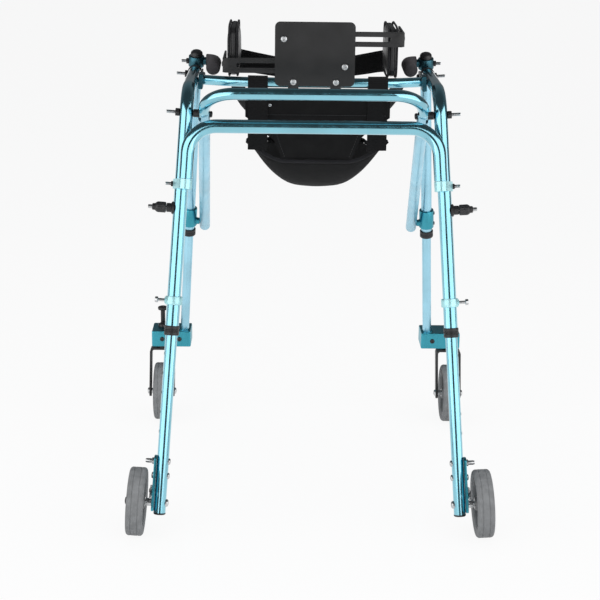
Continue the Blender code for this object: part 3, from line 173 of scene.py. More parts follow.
STABILIZER_Z = 0.801
STABILIZER_Y = 0.005
STABILIZER_BOW = 0.028
BAR_CLAMP_X = 0.009
BAR_CLAMP_Y = 0.034
BAR_CLAMP_Z = 0.029
PLATE_X = 0.003
PLATE_WIDTH = 0.152
PLATE_HEIGHT = 0.121
PLATE_FOOT_Z = 0.797
PLATE_THICK = 0.004
PLATE_Y = -0.012
UPPER_SLIDE_Z = 0.886
LOWER_SLIDE_Z = 0.8345
SLIDE_THICK = 0.005
BRACKET_HALF_X = 0.0405
BRACKET_SCREW_Z = 0.805
SADDLE_WIDTH = 0.020
PLATE_SCREWS = ((-0.059, UPPER_SLIDE_Z), (0.057, LOWER_SLIDE_Z),
                (-BRACKET_HALF_X, BRACKET_SCREW_Z), (BRACKET_HALF_X, BRACKET_SCREW_Z))
SLIDE_HEIGHT = 0.028
SLIDE_SLOT = 0.0095
SLOT_MARGIN = 0.007
SLOT_OUTER_MARGIN = 0.026
SLIDE_REACH = 0.172
SLIDE_OVERLAP = 0.073
PAD_WALL = 0.004
PAD_WALL_LENGTH = 0.110
PAD_THICK = 0.030
PAD_HEIGHT = 0.106
PAD_LENGTH = 0.152
PAD_START = 0.026
PAD_PINCH = 0.03
PAD_Z = 0.856
BELT_HEIGHT = 0.044
BELT_TAPER = 0.008
BELT_THICK = 0.004
BELT_INNER_X = -0.024
BELT_LAP_GAP = 0.001
BELT_BULGE = 0.010
BELT_TURN = 0.15
BELT_DROP = 0.033
BELT_SAG = 0.022
BELT_RIPPLE = 0.0012
BELT_WAVES = 21

HARNESS_X = 0.010
STRAP_WIDTH = 0.038
STRAP_THICK = 0.002
STRAP_ROOM = 0.0012
STRAP_HALF_SPACING = 0.115
STRAP_FOOT_Z = 0.672
STRAP_FRONT_Z = 0.775
PANEL_WIDTH = 0.278
PANEL_TOP_Z = 0.776
PANEL_FOOT_Z = 0.734
PANEL_THICK = 0.004
PANEL_BULGE = 0.005
TONGUE_TOP_WIDTH = 0.200
TONGUE_FOOT_WIDTH = 0.136
TONGUE_LEAN = 0.014
TONGUE_FOOT_Z = 0.652
SLING_THICK = 0.010
SLING_RIM_WIDTH = 0.12
SLING_BACK_STEP = 0.013
SLING_BACK_DROP = 0.0046
SLING_HEEL_Z = 0.590
SLING_HEEL_Y = 0.006
SLING_DIP_Z = 0.556
SLING_DIP_Y = 0.075
SLING_FRONT_Y = 0.170
SLING_FRONT_Z = 0.660
SLING_WIDTH = 0.276
SLING_TAPER = 0.30
SLING_CUP = 0.080
SLING_REAR_CUP = 0.038
SLING_REAR_FLAT = 0.45
FRONT_STRAP_SPACING = 0.155
FRONT_STRAP_START = 0.80
FRONT_STRAP_BOW = 0.016
FRONT_STRAP_STEP = 0.0056
FRONT_STRAP_RISE = -0.005
FRONT_STRAP_WIDTH = 0.030
FRONT_STRAP_SEAM = 0.985
SLING_BINDING_R = 0.0036
SLING_BINDING_INSET = 0.006
PIPING_INSET = 0.0045
STITCH_R = 0.00042
STITCH_SHARE = 0.62
LEG_HOLE_ZS = (0.190, 0.225, 0.260, 0.295, 0.330)
TREAD_GROOVE_OUT = 0.0062
SIDE_LAMP_SIZE = (3.4, 2.4)
SIDE_LAMP_PLACE = (1.88, -1.7, 1.2)
TOP_LAMP_SIZE = (2.6, 2.0)
TOP_LAMP_PLACE = (0.0, 0.4, 3.0)
LAMP_AIM = (0, 0, 0.45)
FLOOR_REACH = 30.0
FLOOR_DROP = 0.0005


def outward(side):
    """The direction square to a side frame's plane, away from the user."""
    return Vector((side, 0, SPLAY)).normalized()


def side_point(side, y, z, out=0.0):
    """A point of the side plane at y and z, moved out square to the plane."""
    return Vector((side * (FOOT_HALF - z * SPLAY), y, z)) + outward(side) * out


def rear_point(side, z, out=0.0):
    """A point beside the rear leg's axis at the height z."""
    return side_point(side, -WHEELBASE / 2 + (z - WHEEL_R) * REAR_LEAN, z, out)


def front_point(side, z, out=0.0):
    """A point beside the upright's axis at the height z."""
    return side_point(side, FOLD_Y + (FOLD_Z - z) * FRONT_LEAN, z, out)


def direction(start, end):
    return (end - start).normalized()


def rear_up(side):
    return direction(rear_point(side, 0), rear_point(side, 1))


def front_up(side):
    return direction(front_point(side, 0), front_point(side, 1))


def behind(side):
    """The direction in the side plane square to the rear leg, towards the back."""
    back = outward(side).cross(rear_up(side)).normalized()
    return -back if back.y > 0 else back


def caster_stem(side):
    """The swivel axis of a front caster, at the top of its fork's crown."""
    return Vector((side * CASTER_X, WHEELBASE / 2 + CASTER_TRAIL, FORK_TOP_Z))


def rear_axle(side, out=0.0):
    """A point on the rear axle's line, where the leaning tyre just meets the ground."""
    tilt = math.atan(SPLAY)
    centre_z = (CAMBER_EDGE + (WHEEL_R - CAMBER_EDGE) * math.cos(tilt)
                + (WHEEL_WIDTH / 2 - CAMBER_EDGE) * math.sin(tilt))
    return rear_point(side, centre_z - REAR_WHEEL_OUT * outward(1).z, out)


def stabilizer_middle(share):
    """A point of the third bar: share runs from -1 on the left to 1 on the right."""
    half = FOOT_HALF - RAIL_Z * SPLAY - RAIL_R - 2 * GAP - BAR_CLAMP_X * 0.6
    return Vector((share * half, STABILIZER_Y + STABILIZER_BOW * share ** 4, STABILIZER_Z))


def bar_at(x):
    """The third bar's middle at a distance x from the middle plane."""
    return stabilizer_middle(x / abs(stabilizer_middle(1).x))


# Mesh work

def across(axis):
    """A direction square to an axis, as near to straight down as it can be."""
    start = Vector((0, 0, -1))
    if abs(axis.dot(start)) > 0.9:
        start = Vector((0, -1, 0))
    return (start - axis * start.dot(axis)).normalized()


def circle(bm, centre, first, second, radius, sides):
    """A ring of points in the plane of two directions."""
    ring = []
    for step in range(sides):
        angle = 2 * math.pi * step / sides
        offset = first * math.cos(angle) + second * math.sin(angle)
        ring.append(bm.verts.new(centre + offset * radius))
    return ring


def join_rings(bm, one, two):
    count = len(one)
    for step in range(count):
        after = (step + 1) % count
        bm.faces.new((one[step], one[after], two[after], two[step]))


def carried_frames(path):
    """Carries one crosswise direction along a path without twisting it."""
    frames = []
    cross = None
    for index, point in enumerate(path):
        tangent = Vector((0, 0, 0))
        if index > 0:
            tangent += direction(path[index - 1], point)
        if index < len(path) - 1:
            tangent += direction(point, path[index + 1])
        tangent.normalize()
        if cross is None:
            cross = across(tangent)
        cross = (cross - tangent * cross.dot(tangent)).normalized()
        frames.append((cross, tangent.cross(cross)))
    return frames


def swept(bm, path, radius, sides=32, closed_path=False):
    """A round bar along a path, of one radius or one for each point."""
    radii = radius if isinstance(radius, list) else [radius] * len(path)
    rings = []
    for point, (first, second), size in zip(path, carried_frames(path), radii):
        rings.append(circle(bm, point, first, second, size, sides))
    for one, two in zip(rings, rings[1:]):
        join_rings(bm, one, two)
    if closed_path:
        join_rings(bm, rings[-1], rings[0])
        return
    bm.faces.new(rings[0])
    bm.faces.new(rings[-1])


def turned(bm, centre, axis, profile, sides=40, hollow=False, ripple=None):
    """Turns a profile of (radius, distance along the axis) round an axis.

    ripple(angle, radius, along) gives the radius and distance to use at an angle.
    """
    axis = axis.normalized()
    first = across(axis)
    second = axis.cross(first)
    rings = []
    for radius, along in profile:
        ring = []
        for step in range(sides):
            angle = 2 * math.pi * step / sides
            size, reach = ripple(angle, radius, along) if ripple else (radius, along)
            offset = first * math.cos(angle) + second * math.sin(angle)
            ring.append(bm.verts.new(centre + axis * reach + offset * size))
        rings.append(ring)
    for one, two in zip(rings, rings[1:]):
        join_rings(bm, one, two)
    if hollow:
        join_rings(bm, rings[-1], rings[0])
    else:
        bm.faces.new(rings[0])
        bm.faces.new(rings[-1])


def sleeve(bm, centre, axis, inner, outer, height, ease_by=0.001, sides=40):
    """A ring round an axis with rounded outer edges, centred on a point."""
    half = height / 2
    slight = ease_by * 0.3
    profile = [(inner, -half), (outer - ease_by, -half), (outer - slight, -half + slight),
               (outer, -half + ease_by), (outer, half - ease_by),
               (outer - slight, half - slight), (outer - ease_by, half), (inner, half)]
    turned(bm, centre, axis, profile, sides, hollow=True)


def block(bm, centre, x_axis, y_axis, size):
    """A box turned to two axes."""
    z_axis = x_axis.cross(y_axis)
    for vert in bmesh.ops.create_cube(bm, size=1)["verts"]:
        local = vert.co.copy()
        vert.co = (centre + x_axis * local.x * size[0] + y_axis * local.y * size[1]
                   + z_axis * local.z * size[2])


def plate(bm, origin, u_axis, v_axis, outline, holes, thickness):
    """A flat plate cut to an outline with holes, thickened both ways from its middle."""
    face_normal = u_axis.cross(v_axis).normalized()
    edges = []
    for loop in [outline, *holes]:
        verts = []
        for u, v in loop:
            verts.append(bm.verts.new(origin + u_axis * u + v_axis * v
                                      - face_normal * thickness / 2))
        for index, vert in enumerate(verts):
            edges.append(bm.edges.new((vert, verts[(index + 1) % len(verts)])))
    filled = bmesh.ops.triangle_fill(bm, use_beauty=True, use_dissolve=False, edges=edges)
    faces = [item for item in filled["geom"] if isinstance(item, bmesh.types.BMFace)]
    grown = bmesh.ops.extrude_face_region(bm, geom=faces)["geom"]
    for item in grown:
        if isinstance(item, bmesh.types.BMVert):
            item.co += face_normal * thickness


def ease(bm, width, segments=2, angle=0.6):
    """Rounds every edge of a mesh that is sharper than an angle."""
    bmesh.ops.recalc_face_normals(bm, faces=bm.faces)
    sharp = [edge for edge in bm.edges
             if len(edge.link_faces) == 2 and edge.calc_face_angle(0) > angle]
    bmesh.ops.bevel(bm, geom=sharp, offset=width, segments=segments, profile=0.7,
                    affect="EDGES", clamp_overlap=True)


def rounded_rectangle(centre_u, centre_v, width, height, radius, steps=8):
    """An outline with round corners."""
    points = []
    for corner in range(4):
        sign_u = (1, -1, -1, 1)[corner]
        sign_v = (1, 1, -1, -1)[corner]
        for step in range(steps + 1):
            angle = math.pi / 2 * (corner + step / steps)
            points.append((centre_u + sign_u * (width / 2 - radius) + radius * math.cos(angle),
                           centre_v + sign_v * (height / 2 - radius) + radius * math.sin(angle)))
    return points


def round_outline(centre_u, centre_v, radius, sides=40):
    """A round outline of a flat plate."""
    points = []
    for step in range(sides):
        angle = 2 * math.pi * step / sides
        points.append((centre_u + radius * math.cos(angle), centre_v + radius * math.sin(angle)))
    return points


def slab(bm, surface, u_steps, v_steps, thickness):
    """A closed sheet of even or changing thickness round a surface of u and v in 0 to 1."""
    def middle(u, v):
        return Vector(surface(u, v))

    def normal(u, v):
        step = 0.001
        along_u = middle(min(u + step, 1), v) - middle(max(u - step, 0), v)
        along_v = middle(u, min(v + step, 1)) - middle(u, max(v - step, 0))
        return along_u.cross(along_v).normalized()

    layers = []
    for sign in (1, -1):
        grid = []
        for i in range(u_steps + 1):
            row = []
            for j in range(v_steps + 1):
                u = i / u_steps
                v = j / v_steps
                depth = thickness(u, v) if callable(thickness) else thickness
                row.append(bm.verts.new(middle(u, v) + normal(u, v) * sign * depth / 2))
            grid.append(row)
        layers.append(grid)
    for grid in layers:
        for i in range(u_steps):
            for j in range(v_steps):
                bm.faces.new((grid[i][j], grid[i + 1][j], grid[i + 1][j + 1], grid[i][j + 1]))
    top, foot = layers
    for i in range(u_steps):
        for j in (0, v_steps):
            bm.faces.new((top[i][j], top[i + 1][j], foot[i + 1][j], foot[i][j]))
    for j in range(v_steps):
        for i in (0, u_steps):
            bm.faces.new((top[i][j], top[i][j + 1], foot[i][j + 1], foot[i][j]))


def bent_path(corners, bends, steps=16):
    """Straight runs through corner points, each corner rounded to its bend radius."""
    path = [corners[0]]
    for before, corner, after, bend in zip(corners, corners[1:], corners[2:], bends):
        back = direction(corner, before)
        ahead = direction(corner, after)
        half = back.angle(ahead) / 2
        reach = bend / math.tan(half)
        centre = corner + (back + ahead).normalized() * bend / math.sin(half)
        start = corner + back * reach - centre
        end = corner + ahead * reach - centre
        sweep = start.angle(end)
        for step in range(steps + 1):
            share = step / steps
            offset = (start * math.sin((1 - share) * sweep)
                      + end * math.sin(share * sweep)) / math.sin(sweep)
            path.append(centre + offset)
    path.append(corners[-1])
    return path


def screw_head(bm, at, axis, radius=0.006, height=0.003, sides=32):
    """A domed screw head with a round socket, standing on a surface."""
    socket = radius * 0.48
    profile = [(radius, -0.0006), (radius, height * 0.35), (radius * 0.93, height * 0.68),
               (radius * 0.76, height * 0.92), (socket * 1.1, height), (socket, height * 0.95),
               (socket, height * 0.3), (socket * 0.4, height * 0.25)]
    turned(bm, at, axis, profile, sides)


def hex_nut(bm, at, axis, radius=0.0075, height=0.0070):
    """A six-sided nut with its corners turned off, standing on a surface."""
    def flats(angle, size, along):
        turn = (angle + math.pi / 6) % (math.pi / 3) - math.pi / 6
        return min(size, radius * 0.88 / math.cos(turn)), along

    profile = [(radius * 0.92, -0.0006), (radius, 0.0008), (radius, height - 0.0008),
               (radius * 0.92, height), (0.0026, height)]
    turned(bm, at, axis, profile, 48, ripple=flats)


def stud(bm, at, axis, length, radius=0.0032):
    """The threaded end of a bolt past its nut."""
    pitch = 0.0010
    profile = [(radius * 0.8, 0.002)]
    for ring in range(int((length - 0.003) / pitch)):
        along = 0.0025 + ring * pitch
        profile += [(radius, along), (radius * 0.86, along + pitch / 2)]
    profile.append((radius * 0.7, length))
    turned(bm, at, axis, profile, 20)


def show(name, bm, finish, body, stands_for=(), angle=38):
    """Closes a mesh into a piece with its finish, riding on a body of the frame."""
    bmesh.ops.recalc_face_normals(bm, faces=bm.faces)
    mesh = bpy.data.meshes.new(name)
    bm.to_mesh(mesh)
    bm.free()
    mesh.shade_smooth()
    mesh.set_sharp_from_angle(angle=math.radians(angle))
    made = bpy.data.objects.new(name, mesh)
    bpy.context.scene.collection.objects.link(made)
    made.data.materials.append(material_of(finish))
    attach(made, body)
    if stands_for:
        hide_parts(*stands_for)
    return made


def piece(name, finish, body, nodes, shape, *sizes, **more):
    """Makes a piece of one shape."""
    bm = bmesh.new()
    shape(bm, *sizes, **more)
    return show(name, bm, finish, body, nodes)


# Finishes: each takes its colour from the panel and its grain from the object's own coordinates

SLOTS = {
    **dict.fromkeys(("tube", "satin_painted_reflection"), "blue_tube"),
    **dict.fromkeys(("bracket", "clamp"), "blue_bracket"),
    **dict.fromkeys(("fastener", "plate"), "black_metal"),
    **dict.fromkeys(("fabric", "padding", "cover", "webbing", "binding", "thread"),
                    "black_fabric"),
    "ring": "pale_ring", "steel": "steel", "black": "black_plastic", "grip": "foam_grip",
    "tyre": "grey_tyre", "hub": "grey_hub"}

GRAINS = {}


def add_node(tree, kind, **values):
    """Adds a shader node; values are its settings or the defaults of its sockets."""
    made = tree.nodes.new("ShaderNode" + kind)
    for name, value in values.items():
        socket = made.inputs.get(name.capitalize())
        if socket:
            socket.default_value = value
        else:
            setattr(made, name, value)
    return made


def grain_noise(tree, place, scale, detail=3.0, stretch=(1, 1, 1)):
    """A noise over the object's coordinates, drawn out along an axis by stretch."""
    mapping = add_node(tree, "Mapping")
    mapping.inputs["Scale"].default_value = stretch
    tree.links.new(place, mapping.inputs["Vector"])
    made = add_node(tree, "TexNoise", scale=scale, detail=detail)
    tree.links.new(mapping.outputs["Vector"], made.inputs["Vector"])
    return made.outputs["Fac"]


def spread(tree, value, low, high, from_low=0.3, from_high=0.7):
    """Maps a noise from its usual range to the range that a socket needs."""
    made = add_node(tree, "MapRange")
    made.inputs["From Min"].default_value = from_low
    made.inputs["From Max"].default_value = from_high
    made.inputs["To Min"].default_value = low
    made.inputs["To Max"].default_value = high
    tree.links.new(value, made.inputs["Value"])
    return made.outputs["Result"]


def tinted(tree, value, colour, darker, lighter):
    """A colour that drifts between a darker and a lighter tint of itself."""
    made = add_node(tree, "ValToRGB")
    low, high = made.color_ramp.elements
    low.position = 0.3
    high.position = 0.7
    low.color = (*(channel * darker for channel in colour), 1)
    high.color = (*(min(1, channel * lighter) for channel in colour), 1)
    tree.links.new(value, made.inputs["Fac"])
    return made.outputs["Color"]


def bumped(tree, shader, value, strength, distance):
    """Raises a surface's grain by a height."""
    made = add_node(tree, "Bump", strength=strength, distance=distance)
    tree.links.new(value, made.inputs["Height"])
    tree.links.new(made.outputs["Normal"], shader.inputs["Normal"])


def blank(name, metallic=0.0):
    """A node material with its shader and its object coordinates."""
    finish = bpy.data.materials.new(name)
    finish.use_nodes = True
    tree = finish.node_tree
    shader = tree.nodes["Principled BSDF"]
    shader.inputs["Metallic"].default_value = metallic
    place = add_node(tree, "TexCoord").outputs["Object"]
    return finish, tree, shader, place


def metal_finish(name, colour, rough, drift=0.10, metallic=1.0, coat=0.0):
    """Anodised or plated metal: a soft colour drift, drawn marks and fine scratches."""
    finish, tree, shader, place = blank(name, metallic)
    cloud = grain_noise(tree, place, 14.0)
    tree.links.new(tinted(tree, cloud, colour, 1 - drift, 1 + drift), shader.inputs["Base Color"])
    drawn = grain_noise(tree, place, 90.0, 4.0, (1, 1, 0.12))
    tree.links.new(spread(tree, drawn, rough * 0.75, rough * 1.35), shader.inputs["Roughness"])
    fine = grain_noise(tree, place, 900.0, 2.0, (1, 1, 0.25))
    bumped(tree, shader, fine, 0.05, 0.0004)
    shader.inputs["Coat Weight"].default_value = coat
    shader.inputs["Coat Roughness"].default_value = 0.08
    shader.inputs["Coat IOR"].default_value = 2.2
    return finish


def plastic_finish(name, colour, rough, pebble=0.12):
    """Moulded plastic or powder coat: a fine pebbled skin, a little dustier in places."""
    finish, tree, shader, place = blank(name)
    cloud = grain_noise(tree, place, 26.0)
    tree.links.new(tinted(tree, cloud, colour, 0.8, 1.35), shader.inputs["Base Color"])
    tree.links.new(spread(tree, cloud, rough * 0.85, rough * 1.2), shader.inputs["Roughness"])
    bumped(tree, shader, grain_noise(tree, place, 1100.0, 2.0), pebble, 0.0005)
    return finish


def tyre_finish(name, colour):
    """Solid tyre: matt, with scuffed lighter patches."""
    finish, tree, shader, place = blank(name)
    scuff = grain_noise(tree, place, 70.0, 6.0)
    tree.links.new(tinted(tree, scuff, colour, 0.86, 1.22), shader.inputs["Base Color"])
    tree.links.new(spread(tree, scuff, 0.62, 0.84), shader.inputs["Roughness"])
    bumped(tree, shader, grain_noise(tree, place, 650.0, 4.0), 0.18, 0.0006)
    return finish


def foam_finish(name, colour):
    """Foam rubber: small open cells and a dull skin."""
    finish, tree, shader, place = blank(name)
    cells = add_node(tree, "TexVoronoi", scale=520.0)
    tree.links.new(place, cells.inputs["Vector"])
    cloud = grain_noise(tree, place, 60.0)
    tree.links.new(tinted(tree, cloud, colour, 0.8, 1.25), shader.inputs["Base Color"])
    tree.links.new(spread(tree, cloud, 0.8, 0.95), shader.inputs["Roughness"])
    bumped(tree, shader, cells.outputs["Distance"], 0.35, 0.0008)
    return finish


def stripes(tree, place, axis, scale, twist=0.0):
    """Even ridges across an axis."""
    made = add_node(tree, "TexWave", wave_type="BANDS", bands_direction=axis, scale=scale)
    made.inputs["Distortion"].default_value = twist
    tree.links.new(place, made.inputs["Vector"])
    return made.outputs["Fac"]


def blended(tree, one, two, kind="MULTIPLY"):
    """Two grains put together."""
    made = add_node(tree, "Math", operation=kind)
    tree.links.new(one, made.inputs[0])
    tree.links.new(two, made.inputs[1])
    return made.outputs["Value"]


def cloth_finish(name, colour, thread, ribbed=False):
    """Woven cloth or webbing: crossing threads, lint and a faint sheen."""
    finish, tree, shader, place = blank(name)
    scale = 1 / thread / 6.28 * math.pi
    across_threads = stripes(tree, place, "X", scale, 0.4)
    up_threads = stripes(tree, place, "Z", scale * (0.5 if ribbed else 1.0), 0.4)
    weave = blended(tree, across_threads, up_threads, "MAXIMUM" if ribbed else "MULTIPLY")
    lint = grain_noise(tree, place, 45.0, 6.0)
    mixed = blended(tree, weave, lint, "MULTIPLY")
    colours = tinted(tree, mixed, colour, 0.7, 1.9)
    tree.links.new(colours, shader.inputs["Base Color"])
    tree.links.new(spread(tree, lint, 0.82, 0.98), shader.inputs["Roughness"])
    shader.inputs["Sheen Weight"].default_value = 0.05
    shader.inputs["Specular IOR Level"].default_value = 0.2
    shader.inputs["Sheen Roughness"].default_value = 0.6
    bumped(tree, shader, weave, 0.5, 0.0006)
    return finish


def material_of(name):
    """The finish of that name, made the first time that it is asked for."""
    if name in GRAINS:
        return GRAINS[name]
    colours = bpy.context.scene.walker_colours
    makers = {
        "tube": lambda: metal_finish("anodised_tube", colours.tube, colours.tube_gloss, coat=1.0),
        # The front legs and braces take a paler copy of the anodised tube colour. It is a painted
        # reflection of the lamp overhead, on a rougher satin metal.
        "satin_painted_reflection": lambda: metal_finish("front_tube_painted_reflection", colours.satin_painted_reflection, 0.38, coat=0.2),
        "bracket": lambda: metal_finish("anodised_bracket", colours.bracket, 0.32),
        "clamp": lambda: metal_finish("dark_clamp", colours.clamp, 0.36),
        "ring": lambda: metal_finish("pale_ring", colours.ring, 0.30, 0.06, 0.6),
        "steel": lambda: metal_finish("plated_steel", colours.steel, 0.25, 0.12),
        "black": lambda: plastic_finish("black_plastic", colours.plastic, 0.42),
        "fastener": lambda: plastic_finish("black_fastener", colours.plastic, 0.30, 0.05),
        "plate": lambda: plastic_finish("black_coated_plate", colours.plate, 0.34, 0.10),
        "grip": lambda: foam_finish("grey_foam", colours.grip),
        "tyre": lambda: tyre_finish("grey_tyre", colours.tyre),
        "hub": lambda: plastic_finish("grey_hub", colours.hub, 0.45),
        "fabric": lambda: cloth_finish("padded_cloth", colours.fabric, 0.0022),
        "cover": lambda: plastic_finish("pad_cover", colours.cover, 0.40, 0.20),
        "padding": lambda: cloth_finish("padded_seat_cloth", colours.padding, 0.0022),
        "webbing": lambda: cloth_finish("strap_webbing", colours.webbing, 0.0030, True),
        "binding": lambda: cloth_finish("edge_binding", colours.binding, 0.0016, True),
        "thread": lambda: plastic_finish("sewing_thread", colours.thread, 0.7),
    }
    GRAINS[name] = makers[name]()
    return GRAINS[name]


def colour_setting(name, about, value):
    return bpy.props.FloatVectorProperty(
        name=name, description=about, subtype="COLOR", default=value, min=0, max=1)


def length_setting(name, about, value, least, most):
    return bpy.props.FloatProperty(
        name=name, description=about, unit="LENGTH", default=value, min=least, max=most)


def power_setting(name, about, value):
    return bpy.props.FloatProperty(
        name=name, description=about, unit="POWER", default=value, min=0)


class WalkerColours(bpy.types.PropertyGroup):
    """The colours that the finishes start from."""
    tube: colour_setting("Tubes", "Anodised colour of the tubes", (0.15, 0.50, 0.62))
    tube_gloss: bpy.props.FloatProperty(
        name="Tube roughness", description="How dull the tubes are", subtype="FACTOR",
        default=0.17, min=0.02, max=1)
    # A paler copy of the tube colour for the front legs and braces: painted reflection of the lamp
    # overhead, on a satin finish.
    satin_painted_reflection: colour_setting("Front tubes", "Satin colour of the front legs and braces",
                          (0.36, 0.66, 0.80))
    bracket: colour_setting("Brackets", "Colour of the clamps and caster blocks",
                            (0.06, 0.34, 0.43))
    clamp: colour_setting("Clamps", "Colour of the dark clamps on the tubes", (0.045, 0.13, 0.165))
    ring: colour_setting("Rings", "Colour of the pale snap rings", (0.42, 0.74, 0.78))
    steel: colour_setting("Steel", "Colour of the plated pins", (0.55, 0.56, 0.57))
    plastic: colour_setting("Plastic", "Colour of the knobs, collars and caps",
                            (0.012, 0.012, 0.013))
    plate: colour_setting("Plates", "Colour of the hip plate and slide bars",
                          (0.007, 0.007, 0.0075))
    grip: colour_setting("Grips", "Colour of the foam grips", (0.050, 0.046, 0.050))
    tyre: colour_setting("Tyres", "Colour of the tyres", (0.19, 0.195, 0.20))
    hub: colour_setting("Hubs", "Colour of the wheel hubs", (0.13, 0.135, 0.14))
    fabric: colour_setting("Padded cloth", "Colour of the padded cloth", (0.0045, 0.0045, 0.005))
    cover: colour_setting("Pad covers", "Colour of the hip pads' smooth covers",
                          (0.010, 0.010, 0.011))
    padding: colour_setting("Seat cloth", "Colour of the sling seat's cloth",
                            (0.013, 0.013, 0.0135))
    webbing: colour_setting("Webbing", "Colour of the straps", (0.0045, 0.0045, 0.005))
    binding: colour_setting("Binding", "Colour of the bound edges", (0.013, 0.013, 0.015))
    thread: colour_setting("Thread", "Colour of the stitches", (0.030, 0.030, 0.033))


class WalkerWheels(bpy.types.PropertyGroup):
    """The shape of the tyres and hubs."""
    edge: length_setting("Tyre edge", "How far the tyre's shoulders are rounded",
                         0.006, 0.001, 0.012)
    groove: length_setting("Groove", "Depth of the two grooves in the tread", 0.0007, 0, 0.003)
    spokes: bpy.props.IntProperty(
        name="Spokes", description="Number of ribs in each hub", default=6, min=3, max=12)
    rib_height: length_setting("Rib height", "How far a rib stands out of the hub's web",
                               0.0052, 0, 0.0065)


class WalkerSoft(bpy.types.PropertyGroup):
    """How the soft pieces are filled and sewn."""
    voxel: length_setting("Cell", "Cell size that a padded piece is remeshed at",
                          0.0045, 0.003, 0.01)
    pressure: bpy.props.FloatProperty(
        name="Pressure", description="Pressure that fills a padded piece",
        default=4.0, min=0, max=20)
    swell: length_setting("Swell", "How far a filled piece may stand out at most", 0.006, 0, 0.02)
    piping: length_setting("Piping", "Radius of the cord sewn into a pad's edge",
                           0.0021, 0.001, 0.004)
    stitch: length_setting("Stitch", "Distance from one stitch to the next", 0.0055, 0.003, 0.02)


class WalkerStage(bpy.types.PropertyGroup):
    """Camera, lamps, world and floor."""
    camera_place: bpy.props.FloatVectorProperty(
        name="Camera", description="Where the camera stands", subtype="XYZ", unit="LENGTH",
        default=(-0.0631, -2.8063, 1.2203))
    yaw: bpy.props.FloatProperty(
        name="Yaw", description="How far the camera turns to its right", subtype="ANGLE",
        default=0.0157)
    pitch: bpy.props.FloatProperty(
        name="Pitch", description="How far the camera looks down", subtype="ANGLE", default=0.2948)
    roll: bpy.props.FloatProperty(
        name="Roll", description="How far the camera leans", subtype="ANGLE", default=0.0133)
    lens: bpy.props.FloatProperty(
        name="Lens", description="Focal length on a 36 mm wide sensor", unit="CAMERA",
        default=88.2, min=10, max=300)
    key_power: power_setting("Key lamp", "Power of the lamp on the left", 45.0)
    fill_power: power_setting("Fill lamp", "Power of the lamp on the right", 45.0)
    top_power: power_setting("Top lamp", "Power of the lamp overhead", 18.0)
    world_level: bpy.props.FloatProperty(
        name="World", description="Strength of the even light from all round", default=0.35, min=0)
    room_level: bpy.props.FloatProperty(
        name="Room", description="What is mirrored from the viewer's side", default=0.06, min=0)
    backdrop_level: bpy.props.FloatProperty(
        name="Backdrop", description="What is mirrored from behind the walker", default=0.15, min=0)
    floor_glow: bpy.props.FloatProperty(
        name="Floor glow", description="How much of the floor shows as plain white",
        subtype="FACTOR", default=0.91, min=0, max=1)
    floor_colour: colour_setting("Floor", "Colour of the floor", (0.93, 0.935, 0.94))


class SideOperator:
    """Builds the same pieces on the left and on the right."""

    def execute(self, context):
        for name, side in SIDES:
            self.build(name, side)
        return {"FINISHED"}


# Fixed frame

def rail_path(side):
    """The line of the rear leg's outer tube and the side rail that it bends into."""
    corners = [rear_point(side, RAIL_FOOT_Z), rear_point(side, RAIL_Z),
               side_point(side, RAIL_FRONT_Y, RAIL_Z)]
    return bent_path(corners, [RAIL_BEND])


def collar(bm, foot, up, bore, radius, height, ribs=3):
    """A moulded foot collar with rounded lips and shallow ribs."""
    lip = 0.0012
    profile = [(bore, 0), (radius - lip, 0), (radius, lip)]
    first = height * 0.30
    pitch = height * 0.40 / ribs
    for rib in range(ribs):
        along = first + rib * pitch
        profile += [(radius, along), (radius - 0.0006, along + pitch * 0.25),
                    (radius - 0.0006, along + pitch * 0.6), (radius, along + pitch * 0.85)]
    profile += [(radius, height - lip), (radius - lip, height), (bore, height)]
    turned(bm, foot, up, profile, 40, hollow=True)


